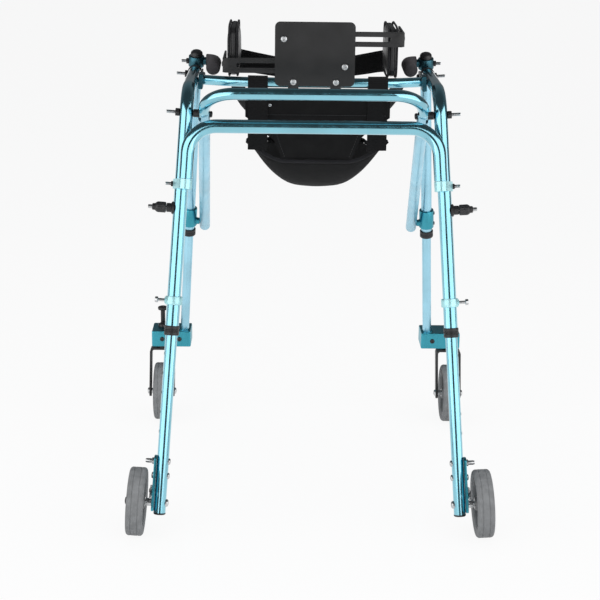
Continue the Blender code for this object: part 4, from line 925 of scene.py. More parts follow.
class WALKER_OT_side_rails(SideOperator, bpy.types.Operator):
    """Build the two side rails with their collars, plunger bosses and front forks"""
    bl_idname = "walker.side_rails"
    bl_label = "Side rails"

    def build(self, name, side):
        up = rear_up(side)
        out = outward(side)
        foot = rear_point(side, RAIL_FOOT_Z)
        piece("rail_tube_" + name, "tube", "root", ["side_rail_" + name], swept,
              [foot - up * BUSH_HEIGHT, *rail_path(side)], RAIL_R)
        piece("rail_collar_" + name, "black", "root", (), collar,
              foot - up * (COLLAR_HEIGHT + BUSH_HEIGHT), up, REAR_LEG_R + 0.0004,
              RAIL_R + 0.0013, COLLAR_HEIGHT)
        bm = bmesh.new()
        at = rear_point(side, PLUNGER_Z)
        boss = [(0.0118, RAIL_R - 0.0030), (0.0118, RAIL_R + 0.0012), (0.0105, RAIL_R + 0.0026),
                (0.0085, RAIL_R + 0.0034), (0.0085, RAIL_R + PLUNGER_BOSS - 0.001),
                (0.0076, RAIL_R + PLUNGER_BOSS), (0.0040, RAIL_R + PLUNGER_BOSS)]
        turned(bm, at, out, boss, 40)
        show("plunger_boss_" + name, bm, "fastener", "root")
        bm = bmesh.new()
        inner = UPRIGHT_R + FORK_ROOM
        outer = inner + FORK_CHEEK
        back = RAIL_FRONT_Y - 0.002
        web = RAIL_FRONT_Y + FORK_WEB
        outline = [(-outer, back), (outer, back), (outer, FOLD_Y), (inner, FOLD_Y),
                   (inner, web), (-inner, web), (-inner, FOLD_Y), (-outer, FOLD_Y)]
        plate(bm, side_point(side, 0, FOLD_Z), out, FORWARD, outline, [], 2 * FORK_EYE_R)
        ease(bm, 0.0011)
        for sign in (-1, 1):
            eye = side_point(side, FOLD_Y, FOLD_Z, sign * (inner + FORK_CHEEK / 2))
            half = FORK_CHEEK / 2
            turned(bm, eye, out, [(FORK_EYE_R - 0.0008, -half), (FORK_EYE_R, -half * 0.4),
                                  (FORK_EYE_R, half * 0.4), (FORK_EYE_R - 0.0008, half)], 48)
        show("rail_fork_" + name, bm, "black", "root")
        piece("rail_end_ring_" + name, "black", "root", (), turned,
              side_point(side, RAIL_FRONT_Y - 0.016, RAIL_Z), FORWARD,
              [(RAIL_R + 0.0002, 0), (RAIL_R + 0.0012, 0.001), (RAIL_R + 0.0012, 0.013),
              (RAIL_R + 0.0002, 0.0155)], 40)


def hoop_foot(side, z):
    """A point on the lower hoop's leg, which runs behind the rear leg."""
    return rear_point(side, z, -HOOP_INBOARD) + behind(side) * HOOP_BEHIND


def brace_line(side):
    """The brace's top, at its bolt, and the direction from its foot up to there."""
    top = rear_point(side, BRACE_TOP_Z, -BRACE_INBOARD)
    foot = front_point(side, BRACE_FOOT_Z, -BRACE_INBOARD)
    return top, direction(foot, top)


def tongue_outer():
    """How far inboard of the rail's axis the hoop's tongue begins."""
    return BRACE_INBOARD - BRACE_R + HOOP_TONGUE_THICK


class WALKER_OT_crossbars(bpy.types.Operator):
    """Build the two rear hoops with the lower one's clamps and the snap rings"""
    bl_idname = "walker.crossbars"
    bl_label = "Rear hoops"

    def execute(self, context):
        left = hoop_foot(-1, LOWER_HOOP_FOOT_Z)
        right = hoop_foot(1, LOWER_HOOP_FOOT_Z)
        corners = [left, hoop_foot(-1, LOWER_HOOP_Z), hoop_foot(1, LOWER_HOOP_Z), right]
        piece("lower_hoop", "tube", "root", ["lower_crossbar"], swept,
              bent_path(corners, [LOWER_HOOP_BEND] * 2), RAIL_R)
        corners = []
        for side in (-1, 1):
            top, up = brace_line(side)
            ends = [top + up * UPPER_HOOP_START, top + up * UPPER_HOOP_REACH]
            corners += ends if side < 0 else ends[::-1]
        piece("upper_hoop", "tube", "root", ["upper_crossbar"], swept,
              bent_path(corners, [UPPER_HOOP_BEND] * 2), BRACE_R)
        for name, side in SIDES:
            top, up = brace_line(side)
            out = outward(side)
            height = HOOP_TONGUE_FOOT + HOOP_TONGUE_TOP
            outline = rounded_rectangle(0, (HOOP_TONGUE_TOP - HOOP_TONGUE_FOOT) / 2,
                                        2 * HOOP_TONGUE_HALF, height, 0.0068)
            offset = BRACE_INBOARD - tongue_outer() - HOOP_TONGUE_THICK / 2
            bm = bmesh.new()
            plate(bm, top + out * offset, out.cross(up).normalized(), up, outline, [],
                  HOOP_TONGUE_THICK)
            ease(bm, 0.0006, 2, 0.9)
            show("hoop_tongue_" + name, bm, "tube", "root")
            bm = bmesh.new()
            ring = round_outline(0, 0, RAIL_R + CLIP_WALL, 56)
            lobe = round_outline(-HOOP_INBOARD, HOOP_BEHIND, RAIL_R, 56)
            points = ring + lobe
            hull = geometry.convex_hull_2d([Vector(point) for point in points])
            outline = [points[index] for index in hull]
            bore = round_outline(0, 0, RAIL_R + 2 * GAP, 56)
            z = LOWER_HOOP_FOOT_Z - HOOP_CLAMP_HEIGHT / 2 - GAP
            plate(bm, rear_point(side, z), outward(side), behind(side), outline, [bore],
                  HOOP_CLAMP_HEIGHT)
            ease(bm, 0.0014, 3, 0.9)
            show("hoop_clamp_body_" + name, bm, "ring", "root", ["hoop_clamp_" + name])
            bm = bmesh.new()
            at = rear_point(side, z, RAIL_R + CLIP_WALL - 0.001)
            hex_nut(bm, at, outward(side), 0.0052, 0.0042)
            show("hoop_clamp_nut_" + name, bm, "fastener", "root")
            piece("hoop_clamp_stud_" + name, "steel", "root", (), stud,
                  at, outward(side), CLAMP_STUD)
            piece("snap_ring_" + name, "ring", "root", ["leg_clip_" + name], sleeve,
                  rear_point(side, CLIP_Z), rear_up(side), RAIL_R + 0.0003,
                  RAIL_R + CLIP_WALL, CLIP_HEIGHT, 0.0014, 48)
            bm = bmesh.new()
            wall = RAIL_R + CLIP_WALL
            turned(bm, rear_point(side, CLIP_Z), outward(side),
                   [(0.0062, wall - 0.002), (0.0062, wall + 0.0002),
                    (0.0054, wall + 0.0009), (0.0034, wall + 0.0009)], 32)
            show("snap_ring_boss_" + name, bm, "ring", "root")
        return {"FINISHED"}


class WALKER_OT_hinge_bolts(SideOperator, bpy.types.Operator):
    """Build the bolts that the uprights fold on and the spaced bolts of the braces"""
    bl_idname = "walker.hinge_bolts"
    bl_label = "Hinge bolts"

    def build(self, name, side):
        out = outward(side)
        at = front_point(side, FOLD_Z)
        reach = UPRIGHT_R + FORK_ROOM + FORK_CHEEK + GAP
        bm = bmesh.new()
        hex_nut(bm, at + out * reach, out)
        screw_head(bm, at - out * reach, -out, BOLT_HEAD_R, BOLT_HEAD)
        show("fold_bolt_heads_" + name, bm, "fastener", "root", ["fold_bolt_" + name])
        piece("fold_bolt_stud_" + name, "steel", "root", (), stud,
              at + out * reach, out, BOLT_STUD)
        seat = RAIL_R + GAP
        tongue = tongue_outer() - GAP
        head = BRACE_INBOARD + BRACE_R + GAP
        at = rear_point(side, BRACE_TOP_Z)
        bm = bmesh.new()
        hex_nut(bm, at + out * seat, out)
        turned(bm, at, -out, [(0.0040, RAIL_R), (BRACE_SPACER_R, RAIL_R + 0.0006),
                              (BRACE_SPACER_R, tongue - 0.0008),
                              (BRACE_SPACER_R - 0.0008, tongue), (0.0028, tongue)], 32)
        turned(bm, at, -out, [(0.0028, tongue), (0.0028, head)], 24)
        screw_head(bm, at - out * head, -out, BOLT_HEAD_R, BOLT_HEAD)
        show("brace_bolt_heads_" + name, bm, "fastener", "root", ["brace_bolt_" + name])
        piece("brace_bolt_stud_" + name, "steel", "root", (), stud,
              at + out * seat, out, BOLT_STUD)


# Rear legs, levers and plungers

class WALKER_OT_rear_legs(SideOperator, bpy.types.Operator):
    """Build the sliding rear legs with their wheel plates, screws and axles"""
    bl_idname = "walker.rear_legs"
    bl_label = "Rear legs"

    def build(self, name, side):
        body = "rear_leg_" + name
        out = outward(side)
        up = rear_up(side)
        back = behind(side)
        foot = rear_point(side, LEG_FOOT_Z)
        piece("sliding_leg_" + name, "tube", body, ["rear_leg_" + name], swept,
              [foot + up * 0.002, rear_point(side, LEG_TOP_Z)], REAR_LEG_R)
        piece("leg_plug_" + name, "black", body, (), turned,
              foot, up, [(0.007, 0.0), (0.0100, 0.0003), (0.0111, 0.0014), (0.0113, 0.0022),
                         (0.0113, 0.0036), (0.0109, 0.0040)], 40)
        bm = bmesh.new()
        for z in LEG_HOLE_ZS:
            turned(bm, rear_point(side, z, REAR_LEG_R - 0.0016), out,
                   [(0.0036, 0), (0.0036, 0.0014), (0.0030, 0.0017), (0.0022, 0.0012)], 24)
        show("leg_holes_" + name, bm, "fastener", body)
        middle = rear_point(side, (WHEEL_PLATE_TOP + WHEEL_PLATE_FOOT) / 2,
                            REAR_LEG_R + GAP + WHEEL_PLATE_THICK / 2)
        height = (WHEEL_PLATE_TOP - WHEEL_PLATE_FOOT) / up.z
        outline = rounded_rectangle(0, 0, 2 * WHEEL_PLATE_HALF, height, 0.0075)
        bm = bmesh.new()
        plate(bm, middle, back, up, outline, [], WHEEL_PLATE_THICK)
        ease(bm, 0.0009, 2, 0.9)
        show("wheel_plate_" + name, bm, "bracket", body, ["wheel_bracket_" + name])
        outer = REAR_LEG_R + GAP + WHEEL_PLATE_THICK
        bm = bmesh.new()
        for z, knob in zip(WHEEL_SCREW_ZS, (0.016, 0.0035)):
            at = rear_point(side, z)
            if knob > 0.01:
                turned(bm, at, out, [(0.0062, outer - 0.0005), (0.0062, outer + 0.004),
                                     (0.0042, outer + 0.0046), (0.0042, outer + knob - 0.003),
                                     (0.0034, outer + knob)], 32)
            else:
                screw_head(bm, at + out * outer, out, 0.006, knob)
            screw_head(bm, at - out * (REAR_LEG_R - 0.001), -out, 0.006, 0.004)
        show("wheel_plate_screws_" + name, bm, "steel", body)
        bm = bmesh.new()
        shoulder = REAR_LEG_R + WHEEL_PLATE_THICK + GAP
        hub = REAR_WHEEL_OUT - WHEEL_WIDTH / 2
        axle = rear_axle(side)
        turned(bm, axle, out, [(0.0060, shoulder), (0.0075, shoulder + 0.0008),
                               (0.0075, hub - 0.002), (0.0062, hub - 0.0004),
                               (0.0042, hub - 0.0002), (0.0042, hub + WHEEL_WIDTH)], 40)
        screw_head(bm, axle - out * (REAR_LEG_R - 0.001), -out, 0.0072, 0.0052)
        show("axle_spacer_" + name, bm, "steel", body, ["wheel_axle_" + name])
        cap = REAR_WHEEL_OUT + WHEEL_WIDTH / 2
        piece("axle_cap_" + name, "black", body, (), turned,
              axle, out, [(0.0060, cap - 0.0012), (0.0088, cap - 0.0006),
                          (0.0088, cap + 0.0016), (0.0080, cap + 0.0036),
                          (0.0060, cap + 0.0054), (0.0030, cap + 0.0062)], 40)


class WALKER_OT_levers(SideOperator, bpy.types.Operator):
    """Build the anti-rollback levers beside the rear wheels"""
    bl_idname = "walker.levers"
    bl_label = "Anti-rollback levers"

    def build(self, name, side):
        out = outward(side)
        up = rear_up(side)
        back = behind(side)
        middle = REAR_LEG_R + WHEEL_PLATE_THICK + 2 * GAP + PAWL_THICK / 2
        at = rear_point(side, PAWL_Z - 0.008, middle)
        outline = [(-0.006, 0.010), (0.006, 0.010), (0.008, 0.0), (0.021, -0.005),
                   (0.021, -0.012), (0.004, -0.008), (-0.006, -0.006)]
        bm = bmesh.new()
        plate(bm, at, back, up, outline, [], PAWL_THICK)
        ease(bm, 0.0010, 2)
        show("lever_arm_" + name, bm, "steel", "pawl_" + name, ["pawl_lever_" + name])
        piece("lever_pivot_" + name, "fastener", "pawl_" + name, (), screw_head,
              at + out * PAWL_THICK / 2, out, 0.0042, 0.0018)


class WALKER_OT_plungers(SideOperator, bpy.types.Operator):
    """Build the pull knobs and snap pins of the rear legs"""
    bl_idname = "walker.plungers"
    bl_label = "Plungers and snap pins"

    def build(self, name, side):
        out = outward(side)
        knob = RAIL_R + PLUNGER_STEM

        def flutes(angle, radius, along):
            cut = 0.0007 if knob + 0.003 < along < knob + 0.014 else 0.0
            return radius - cut * (0.5 + 0.5 * math.cos(angle * 16)), along

        profile = [(0.0040, knob), (PLUNGER_R - 0.0012, knob), (PLUNGER_R, knob + 0.0012),
                   (PLUNGER_R, knob + 0.0028), (PLUNGER_R, knob + 0.0036),
                   (PLUNGER_R, knob + 0.0132), (PLUNGER_R, knob + 0.0145),
                   (PLUNGER_R - 0.0006, knob + 0.0166), (PLUNGER_R - 0.0024, knob + 0.0192),
                   (0.0064, knob + 0.0200), (0.0062, knob + 0.0246), (0.0050, knob + 0.0254)]
        piece("pull_knob_" + name, "black", "plunger_" + name, ["plunger_knob_" + name], turned,
              rear_point(side, PLUNGER_Z), out, profile, 96, ripple=flutes)
        tip = REAR_LEG_R + 0.0009
        stem_end = RAIL_R + 0.046
        piece("plunger_stem_" + name, "steel", "plunger_" + name, (), turned,
              rear_point(side, PLUNGER_Z), out,
              [(0.0028, tip), (0.0028, knob + 0.022), (0.0036, knob + 0.024),
              (0.0036, stem_end - 0.0008), (0.0028, stem_end)], 28)
        shoulder = RAIL_R + CLIP_WALL + 0.001
        end = shoulder + LEG_PIN_LENGTH
        piece("snap_pin_" + name, "steel", "leg_pin_" + name, ["leg_pin_" + name], turned,
              rear_point(side, CLIP_Z), out,
              [(0.0026, tip), (LEG_PIN_R - 0.0001, tip + 0.001),
              (LEG_PIN_R - 0.0001, end - 0.0062),
              (0.0046, end - 0.0062), (0.0056, end - 0.0054), (0.0056, end - 0.0016),
              (0.0050, end - 0.0005), (0.0034, end)], 36)


# Wheels

def build_wheel(label, centre, axis, body, nodes):
    """A grooved tyre on a ribbed hub."""
    wheels = bpy.context.scene.walker_wheels
    half = WHEEL_WIDTH / 2
    edge = wheels.edge
    groove = wheels.groove
    profile = [(WHEEL_RIM_R, -half + 0.003)]
    tread = []
    for step in range(9):
        angle = math.pi / 2 * step / 8
        tread.append((WHEEL_R - edge + edge * math.sin(angle),
                      half - edge + edge * math.cos(angle)))
    profile += [(radius, -along) for radius, along in tread]
    for middle in (-TREAD_GROOVE_OUT, TREAD_GROOVE_OUT):
        profile += [(WHEEL_R, middle - 0.0009), (WHEEL_R - groove, middle - 0.0005),
                    (WHEEL_R - groove, middle + 0.0005), (WHEEL_R, middle + 0.0009)]
    profile += list(reversed(tread))
    profile.append((WHEEL_RIM_R, half - 0.003))
    piece(label + "_tyre_ring", "tyre", body, [nodes + "_tyre"], turned,
          centre, axis, profile, 72, hollow=True)

    rim = WHEEL_RIM_R - 0.0002
    web = 0.0055
    spokes = wheels.spokes

    def ribs(angle, radius, along):
        reach = abs(along)
        if reach > web or not HUB_R + 0.002 < radius < rim - 0.004:
            return radius, along
        rise = max(0.0, math.cos(angle * spokes)) ** 3
        return radius, math.copysign(reach + rise * wheels.rib_height, along)

    face = [(HUB_R - 0.0006, half - 0.0010), (HUB_R, half - 0.0018), (HUB_R + 0.0012, web + 0.0046)]
    for share in (0.12, 0.24, 0.4, 0.6, 0.76, 0.88):
        face.append((HUB_R + (rim - HUB_R) * share, web - 0.0001))
    face += [(rim - 0.0042, web + 0.0006), (rim - 0.0034, half - 0.0052),
             (rim - 0.0024, half - 0.0040), (rim, half - 0.0038)]
    bore = AXLE_R + 0.0003
    profile = [(bore, -half + 0.0010)] + [(radius, -along) for radius, along in face]
    profile += list(reversed(face)) + [(bore, half - 0.0010)]
    piece(label + "_hub_disc", "hub", body, [nodes + "_hub"], turned,
          centre, axis, profile, 96, hollow=True, ripple=ribs)
    bm = bmesh.new()
    for sign in (-1, 1):
        turned(bm, centre, axis * sign, [(bore, half - 0.0014), (0.0088, half - 0.0014),
                                         (0.0088, half - 0.0008), (0.0080, half - 0.0004),
                                         (bore, half - 0.0004)], 32, hollow=True)
    show(label + "_bearing", bm, "steel", body)


class WALKER_OT_wheels(SideOperator, bpy.types.Operator):
    """Build the rear wheels and the caster wheels"""
    bl_idname = "walker.wheels"
    bl_label = "Wheels"

    def build(self, name, side):
        build_wheel("rear_wheel_" + name, rear_axle(side, REAR_WHEEL_OUT), outward(side),
                    "rear_wheel_" + name, "rear_" + name)
        top = caster_stem(side)
        centre = Vector((top.x, top.y - CASTER_TRAIL, WHEEL_R))
        build_wheel("caster_wheel_" + name, centre, Vector((side, 0, 0)),
                    "caster_wheel_" + name, "caster_" + name)


# Front legs, handles and braces

class WALKER_OT_uprights(SideOperator, bpy.types.Operator):
    """Build the folding uprights with their caps, collars and brace clamps"""
    bl_idname = "walker.uprights"
    bl_label = "Front uprights"

    def build(self, name, side):
        body = "front_upright_" + name
        up = front_up(side)
        out = outward(side)
        foot = front_point(side, UPRIGHT_FOOT_Z)
        top = front_point(side, UPRIGHT_TOP_Z)
        piece("upright_tube_" + name, "satin_painted_reflection", body, ["front_upright_" + name], swept,
              [foot - up * 0.004, top], UPRIGHT_R)
        piece("upright_cap_" + name, "black", body, (), turned,
              top, up, [(UPRIGHT_R + 0.0004, -0.0045), (UPRIGHT_R + 0.0010, -0.0040),
                        (UPRIGHT_R + 0.0010, 0.0030), (UPRIGHT_R + 0.0002, 0.0056),
                        (UPRIGHT_R - 0.0022, 0.0080), (UPRIGHT_R - 0.0056, 0.0095),
                        (0.0020, CAP_HEIGHT)], 40)
        piece("upright_collar_" + name, "black", body, (), collar,
              foot - up * FRONT_COLLAR_HEIGHT, up, FRONT_LEG_R + 0.0004,
              UPRIGHT_R + 0.003, FRONT_COLLAR_HEIGHT, 2)
        inner = UPRIGHT_R + GAP
        outer = inner + BRACE_COLLAR_WALL
        centre = front_point(side, BRACE_COLLAR_Z)
        piece("brace_clamp_" + name, "bracket", body, ["brace_collar_" + name], sleeve,
              centre, up, inner, outer, BRACE_COLLAR_HEIGHT, 0.0016, 48)
        stud_z = BRACE_FOOT_Z + BRACE_STUD_RISE
        start = outer - 0.002
        end = BRACE_INBOARD - BRACE_R - GAP
        piece("brace_stud_" + name, "bracket", body, (), turned,
              front_point(side, stud_z), -out,
              [(BRACE_STUD_R + 0.0016, start), (BRACE_STUD_R + 0.0016, start + 0.0024),
              (BRACE_STUD_R, start + 0.0034), (BRACE_STUD_R, end - 0.0010),
              (BRACE_STUD_R - 0.0010, end)], 36)
        bm = bmesh.new()
        for shift in (-0.012, 0.012):
            screw_head(bm, centre + up * shift + out * (outer - 0.0006), out, 0.0040, 0.0026)
        show("brace_clamp_screws_" + name, bm, "fastener", body)


class WALKER_OT_handles(SideOperator, bpy.types.Operator):
    """Build the clamped handles and their foam grips"""
    bl_idname = "walker.handles"
    bl_label = "Handles"

    def build(self, name, side):
        body = "handle_" + name
        up = front_up(side)
        centre = front_point(side, HANDLE_CLAMP_Z)
        inner = UPRIGHT_R + HANDLE_CLAMP_ROOM
        outer = inner + HANDLE_CLAMP_WALL
        inward = Vector((-side, 0, 0))
        start = centre + inward * (outer - 0.002)
        corner = start + inward * GRIP_REACH
        end = corner + Vector((0, -GRIP_BACK, -0.004))
        core_end = corner + Vector((0, -GRIP_BACK + 0.010, -0.004))
        bm = bmesh.new()
        sleeve(bm, centre, up, inner, outer, HANDLE_CLAMP_HEIGHT, 0.0016, 48)
        swept(bm, bent_path([start, corner, core_end], [GRIP_BEND], 12), HANDLE_TUBE_R, 28)
        show("handle_clamp_" + name, bm, "clamp", body, ["handle_tube_" + name])
        piece("handle_nut_" + name, "fastener", body, (), hex_nut,
              centre - inward * (outer - 0.0006), -inward, 0.0060, 0.0050)
        piece("handle_stud_" + name, "steel", body, (), stud,
              centre - inward * (outer - 0.0006), -inward, CLAMP_STUD)
        path = bent_path([start + inward * 0.006, corner, end], [GRIP_BEND], 22)
        last = path[-1]
        before = path[-2]
        dense = path[:-1]
        run = (last - before).length
        for step in range(1, 37):
            dense.append(before.lerp(last, step / 36))
        radii = []
        for index, point in enumerate(dense):
            rest = (last - point).length
            size = GRIP_R
            if index == 0:
                size -= 0.0012
            if index > len(path) and rest > 0.010:
                size -= 0.0007 * max(0.0, math.cos((run - rest) / 0.0075 * 2 * math.pi)) ** 2
            if rest < 0.006:
                round_end = math.sqrt(max(0, 1 - (1 - rest / 0.006) ** 2))
                size = GRIP_R * 0.62 + GRIP_R * 0.38 * round_end
            radii.append(size)
        piece("foam_grip_" + name, "grip", body, ["hand_grip_" + name], swept, dense, radii, 40)


class WALKER_OT_braces(SideOperator, bpy.types.Operator):
    """Build the folding braces, which run on from the upper hoop below its bolts"""
    bl_idname = "walker.braces"
    bl_label = "Braces"

    def build(self, name, side):
        top, up = brace_line(side)
        out = outward(side)
        end = front_point(side, BRACE_FOOT_Z, -BRACE_INBOARD) - up * BRACE_OVERRUN
        inboard = BRACE_R - 2 * HOOP_TONGUE_THICK - GAP
        bm = bmesh.new()
        rings = []
        for along, share, cut in ((0.0108, 0.30, 1), (0.0104, 0.55, 1), (0.0092, 0.78, 1),
                                  (0.0070, 0.93, 1), (0.0040, 1, 1), (0, 1, 1),
                                  (-0.0150, 1, 1), (-0.0162, 1, 0), (-0.0170, 1, 0)):
            rings.append(self.section(bm, top + up * along, up, out, share, cut, inboard))
        run = (end - top).length
        for back, share in ((0.0022, 1.0), (0.0008, 0.95), (0.0, 0.84)):
            rings.append(self.section(bm, top - up * (run - back), up, out, share, 0, inboard))
        for one, two in zip(rings, rings[1:]):
            join_rings(bm, one, two)
        bm.faces.new(rings[0])
        bm.faces.new(rings[-1])
        show("brace_tube_" + name, bm, "satin_painted_reflection", "brace_" + name, ["brace_" + name])

    def section(self, bm, centre, up, out, share, cut, inboard):
        """A round section whose outboard side is cut flat beside the hoop's tongue."""
        cross = up.cross(out).normalized()
        ring = []
        for step in range(48):
            angle = 2 * math.pi * step / 48
            beside = math.cos(angle) * BRACE_R * share
            if cut:
                beside = min(beside, inboard)
            ring.append(bm.verts.new(centre + out * beside
                                     + cross * math.sin(angle) * BRACE_R * share))
        return ring


class WALKER_OT_front_legs(SideOperator, bpy.types.Operator):
    """Build the front legs with their caster blocks and swivel locks"""
    bl_idname = "walker.front_legs"
    bl_label = "Front legs"

    def build(self, name, side):
        body = "front_leg_" + name
        up = front_up(side)
        foot = front_point(side, CASTER_BLOCK_TOP - SOCKET_DEPTH + GAP)
        piece("lower_leg_" + name, "satin_painted_reflection", body, ["front_leg_" + name], swept,
              [foot, front_point(side, FRONT_LEG_TOP_Z)], FRONT_LEG_R)
        stem = caster_stem(side)
        lock = stem + Vector((0, LOCK_Y_OFFSET, 0))
        leg = front_point(side, CASTER_BLOCK_TOP)
        near = min(leg.y, stem.y) - CASTER_BLOCK_HALF_Y
        far = lock.y + LOCK_BARREL_R + 0.004
        centre_x = side * (CASTER_BLOCK_INNER_X + CASTER_BLOCK_OUTER_X) / 2
        size_x = CASTER_BLOCK_OUTER_X - CASTER_BLOCK_INNER_X
        middle_z = (CASTER_BLOCK_FOOT + CASTER_BLOCK_TOP) / 2
        bm = bmesh.new()
        block(bm, Vector((centre_x, (near + far) / 2, middle_z)), RIGHT,
              FORWARD, (size_x, far - near, CASTER_BLOCK_TOP - CASTER_BLOCK_FOOT))
        ease(bm, 0.0042, 4)
        show("caster_block_" + name, bm, "bracket", body, ["caster_bracket_" + name])
        bm = bmesh.new()
        rise = front_point(side, CASTER_BLOCK_TOP)
        turned(bm, rise, up, [(FRONT_LEG_R + 0.0002, -0.002), (FRONT_LEG_R + 0.0040, -0.002),
                              (FRONT_LEG_R + 0.0040, 0.0012), (FRONT_LEG_R + 0.0030, 0.0024),
                              (FRONT_LEG_R + 0.0002, 0.0024)], 40, hollow=True)
        show("leg_socket_ring_" + name, bm, "bracket", body)
        bm = bmesh.new()
        for x in (centre_x - side * 0.018, centre_x + side * 0.020):
            screw_head(bm, Vector((x, near + 0.0004, middle_z)), Vector((0, -1, 0)), 0.0052, 0.0030)
        show("caster_block_screws_" + name, bm, "fastener", body)
        head = LOCK_TOP_Z - lock.z
        block_top = CASTER_BLOCK_TOP - lock.z

        def flutes(angle, radius, along):
            cut = 0.0006 if head - LOCK_HEAD + 0.0006 < along < head - 0.001 else 0.0
            return radius - cut * (0.5 + 0.5 * math.cos(angle * 14)), along

        profile = [(0.0068, block_top - 0.001), (0.0072, block_top + 0.0020),
                   (LOCK_BARREL_R, block_top + 0.0042), (LOCK_BARREL_R, head - LOCK_HEAD - 0.002),
                   (0.0066, head - LOCK_HEAD), (LOCK_HEAD_R - 0.0009, head - LOCK_HEAD),
                   (LOCK_HEAD_R, head - LOCK_HEAD + 0.0009), (LOCK_HEAD_R, head - 0.0024),
                   (LOCK_HEAD_R - 0.0008, head - 0.0010), (LOCK_HEAD_R - 0.0026, head - 0.0002),
                   (0.0030, head)]
        piece("lock_knob_" + name, "black", "swivel_lock_" + name, ["swivel_lock_" + name], turned,
              lock, UP, profile, 84, ripple=flutes)


class WALKER_OT_caster_forks(SideOperator, bpy.types.Operator):
    """Build the trailing caster forks with their stems and axle bolts"""
    bl_idname = "walker.caster_forks"
    bl_label = "Caster forks"

    def build(self, name, side):
        body = "caster_" + name
        top = caster_stem(side)
        wheel = Vector((top.x, top.y - CASTER_TRAIL, WHEEL_R))
        half = FORK_WIDTH / 2 - FORK_PLATE / 2
        drop = top.z - (wheel.z - FORK_ARM_HALF)
        slope = CASTER_TRAIL / (top.z - wheel.z)
        corners = [Vector((-half, 0, -drop)), Vector((-half, 0, -FORK_PLATE / 2)),
                   Vector((half, 0, -FORK_PLATE / 2)), Vector((half, 0, -drop))]
        bent = bent_path(corners, [0.0075] * 2, 8)
        line = []
        for one, two in zip(bent, bent[1:]):
            cuts = max(1, round((two - one).length / 0.004))
            for step in range(cuts):
                line.append(one.lerp(two, step / cuts))
        line.append(bent[-1])
        lengths = [0.0]
        for one, two in zip(line, line[1:]):
            lengths.append(lengths[-1] + (two - one).length)
        total = lengths[-1]
        count = len(line) - 1

        def strap(u, v):
            index = min(int(u * count), count - 1)
            share = u * count - index
            point = line[index].lerp(line[index + 1], share)
            run = lengths[index] + (lengths[index + 1] - lengths[index]) * share
            end = min(run, total - run)
            crown = min(1.0, max(0.0, (point.z + 0.030) / 0.030))
            width = FORK_ARM_HALF * (0.92 + 0.20 * crown)
            if end < FORK_ARM_HALF:
                width *= math.sqrt(max(0.04, 1 - (1 - end / FORK_ARM_HALF) ** 2))
            shift = point.z * slope
            return (top.x + point.x, top.y + shift + (v - 0.5) * 2 * width, top.z + point.z)

        bm = bmesh.new()
        slab(bm, strap, count, 4, FORK_PLATE)
        ease(bm, 0.0007, 2, 1.0)
        show("fork_strap_" + name, bm, "black", body, ["caster_fork_" + name])
        stem_top = CASTER_BLOCK_TOP - top.z + GAP
        shoulder = CASTER_BLOCK_FOOT - top.z - GAP
        bm = bmesh.new()
        turned(bm, top, UP,
               [(0.0125, -0.001), (0.0132, 0.001), (0.0132, 0.0045), (0.0118, 0.0060),
                (0.0118, shoulder - 0.0006), (0.0112, shoulder), (STEM_R, shoulder)], 40)
        turned(bm, top, UP,
               [(0.0092, stem_top), (0.0092, stem_top + 0.0006), (0.0086, stem_top + 0.0050),
                (0.0074, stem_top + 0.0066), (0.0040, stem_top + 0.0076)], 40)
        show("stem_nut_" + name, bm, "fastener", body)
        bm = bmesh.new()
        for sign in (-1, 1):
            seat = wheel + Vector((sign * FORK_WIDTH / 2, 0, 0))
            screw_head(bm, seat, Vector((sign, 0, 0)), 0.0070, 0.0040)
            turned(bm, wheel, Vector((sign, 0, 0)),
                   [(0.0058, WHEEL_WIDTH / 2 - 0.0008),
                    (0.0058, FORK_WIDTH / 2 - FORK_PLATE + 0.0004)], 32)
        show("caster_axle_" + name, bm, "steel", body)


# Hip stabiliser

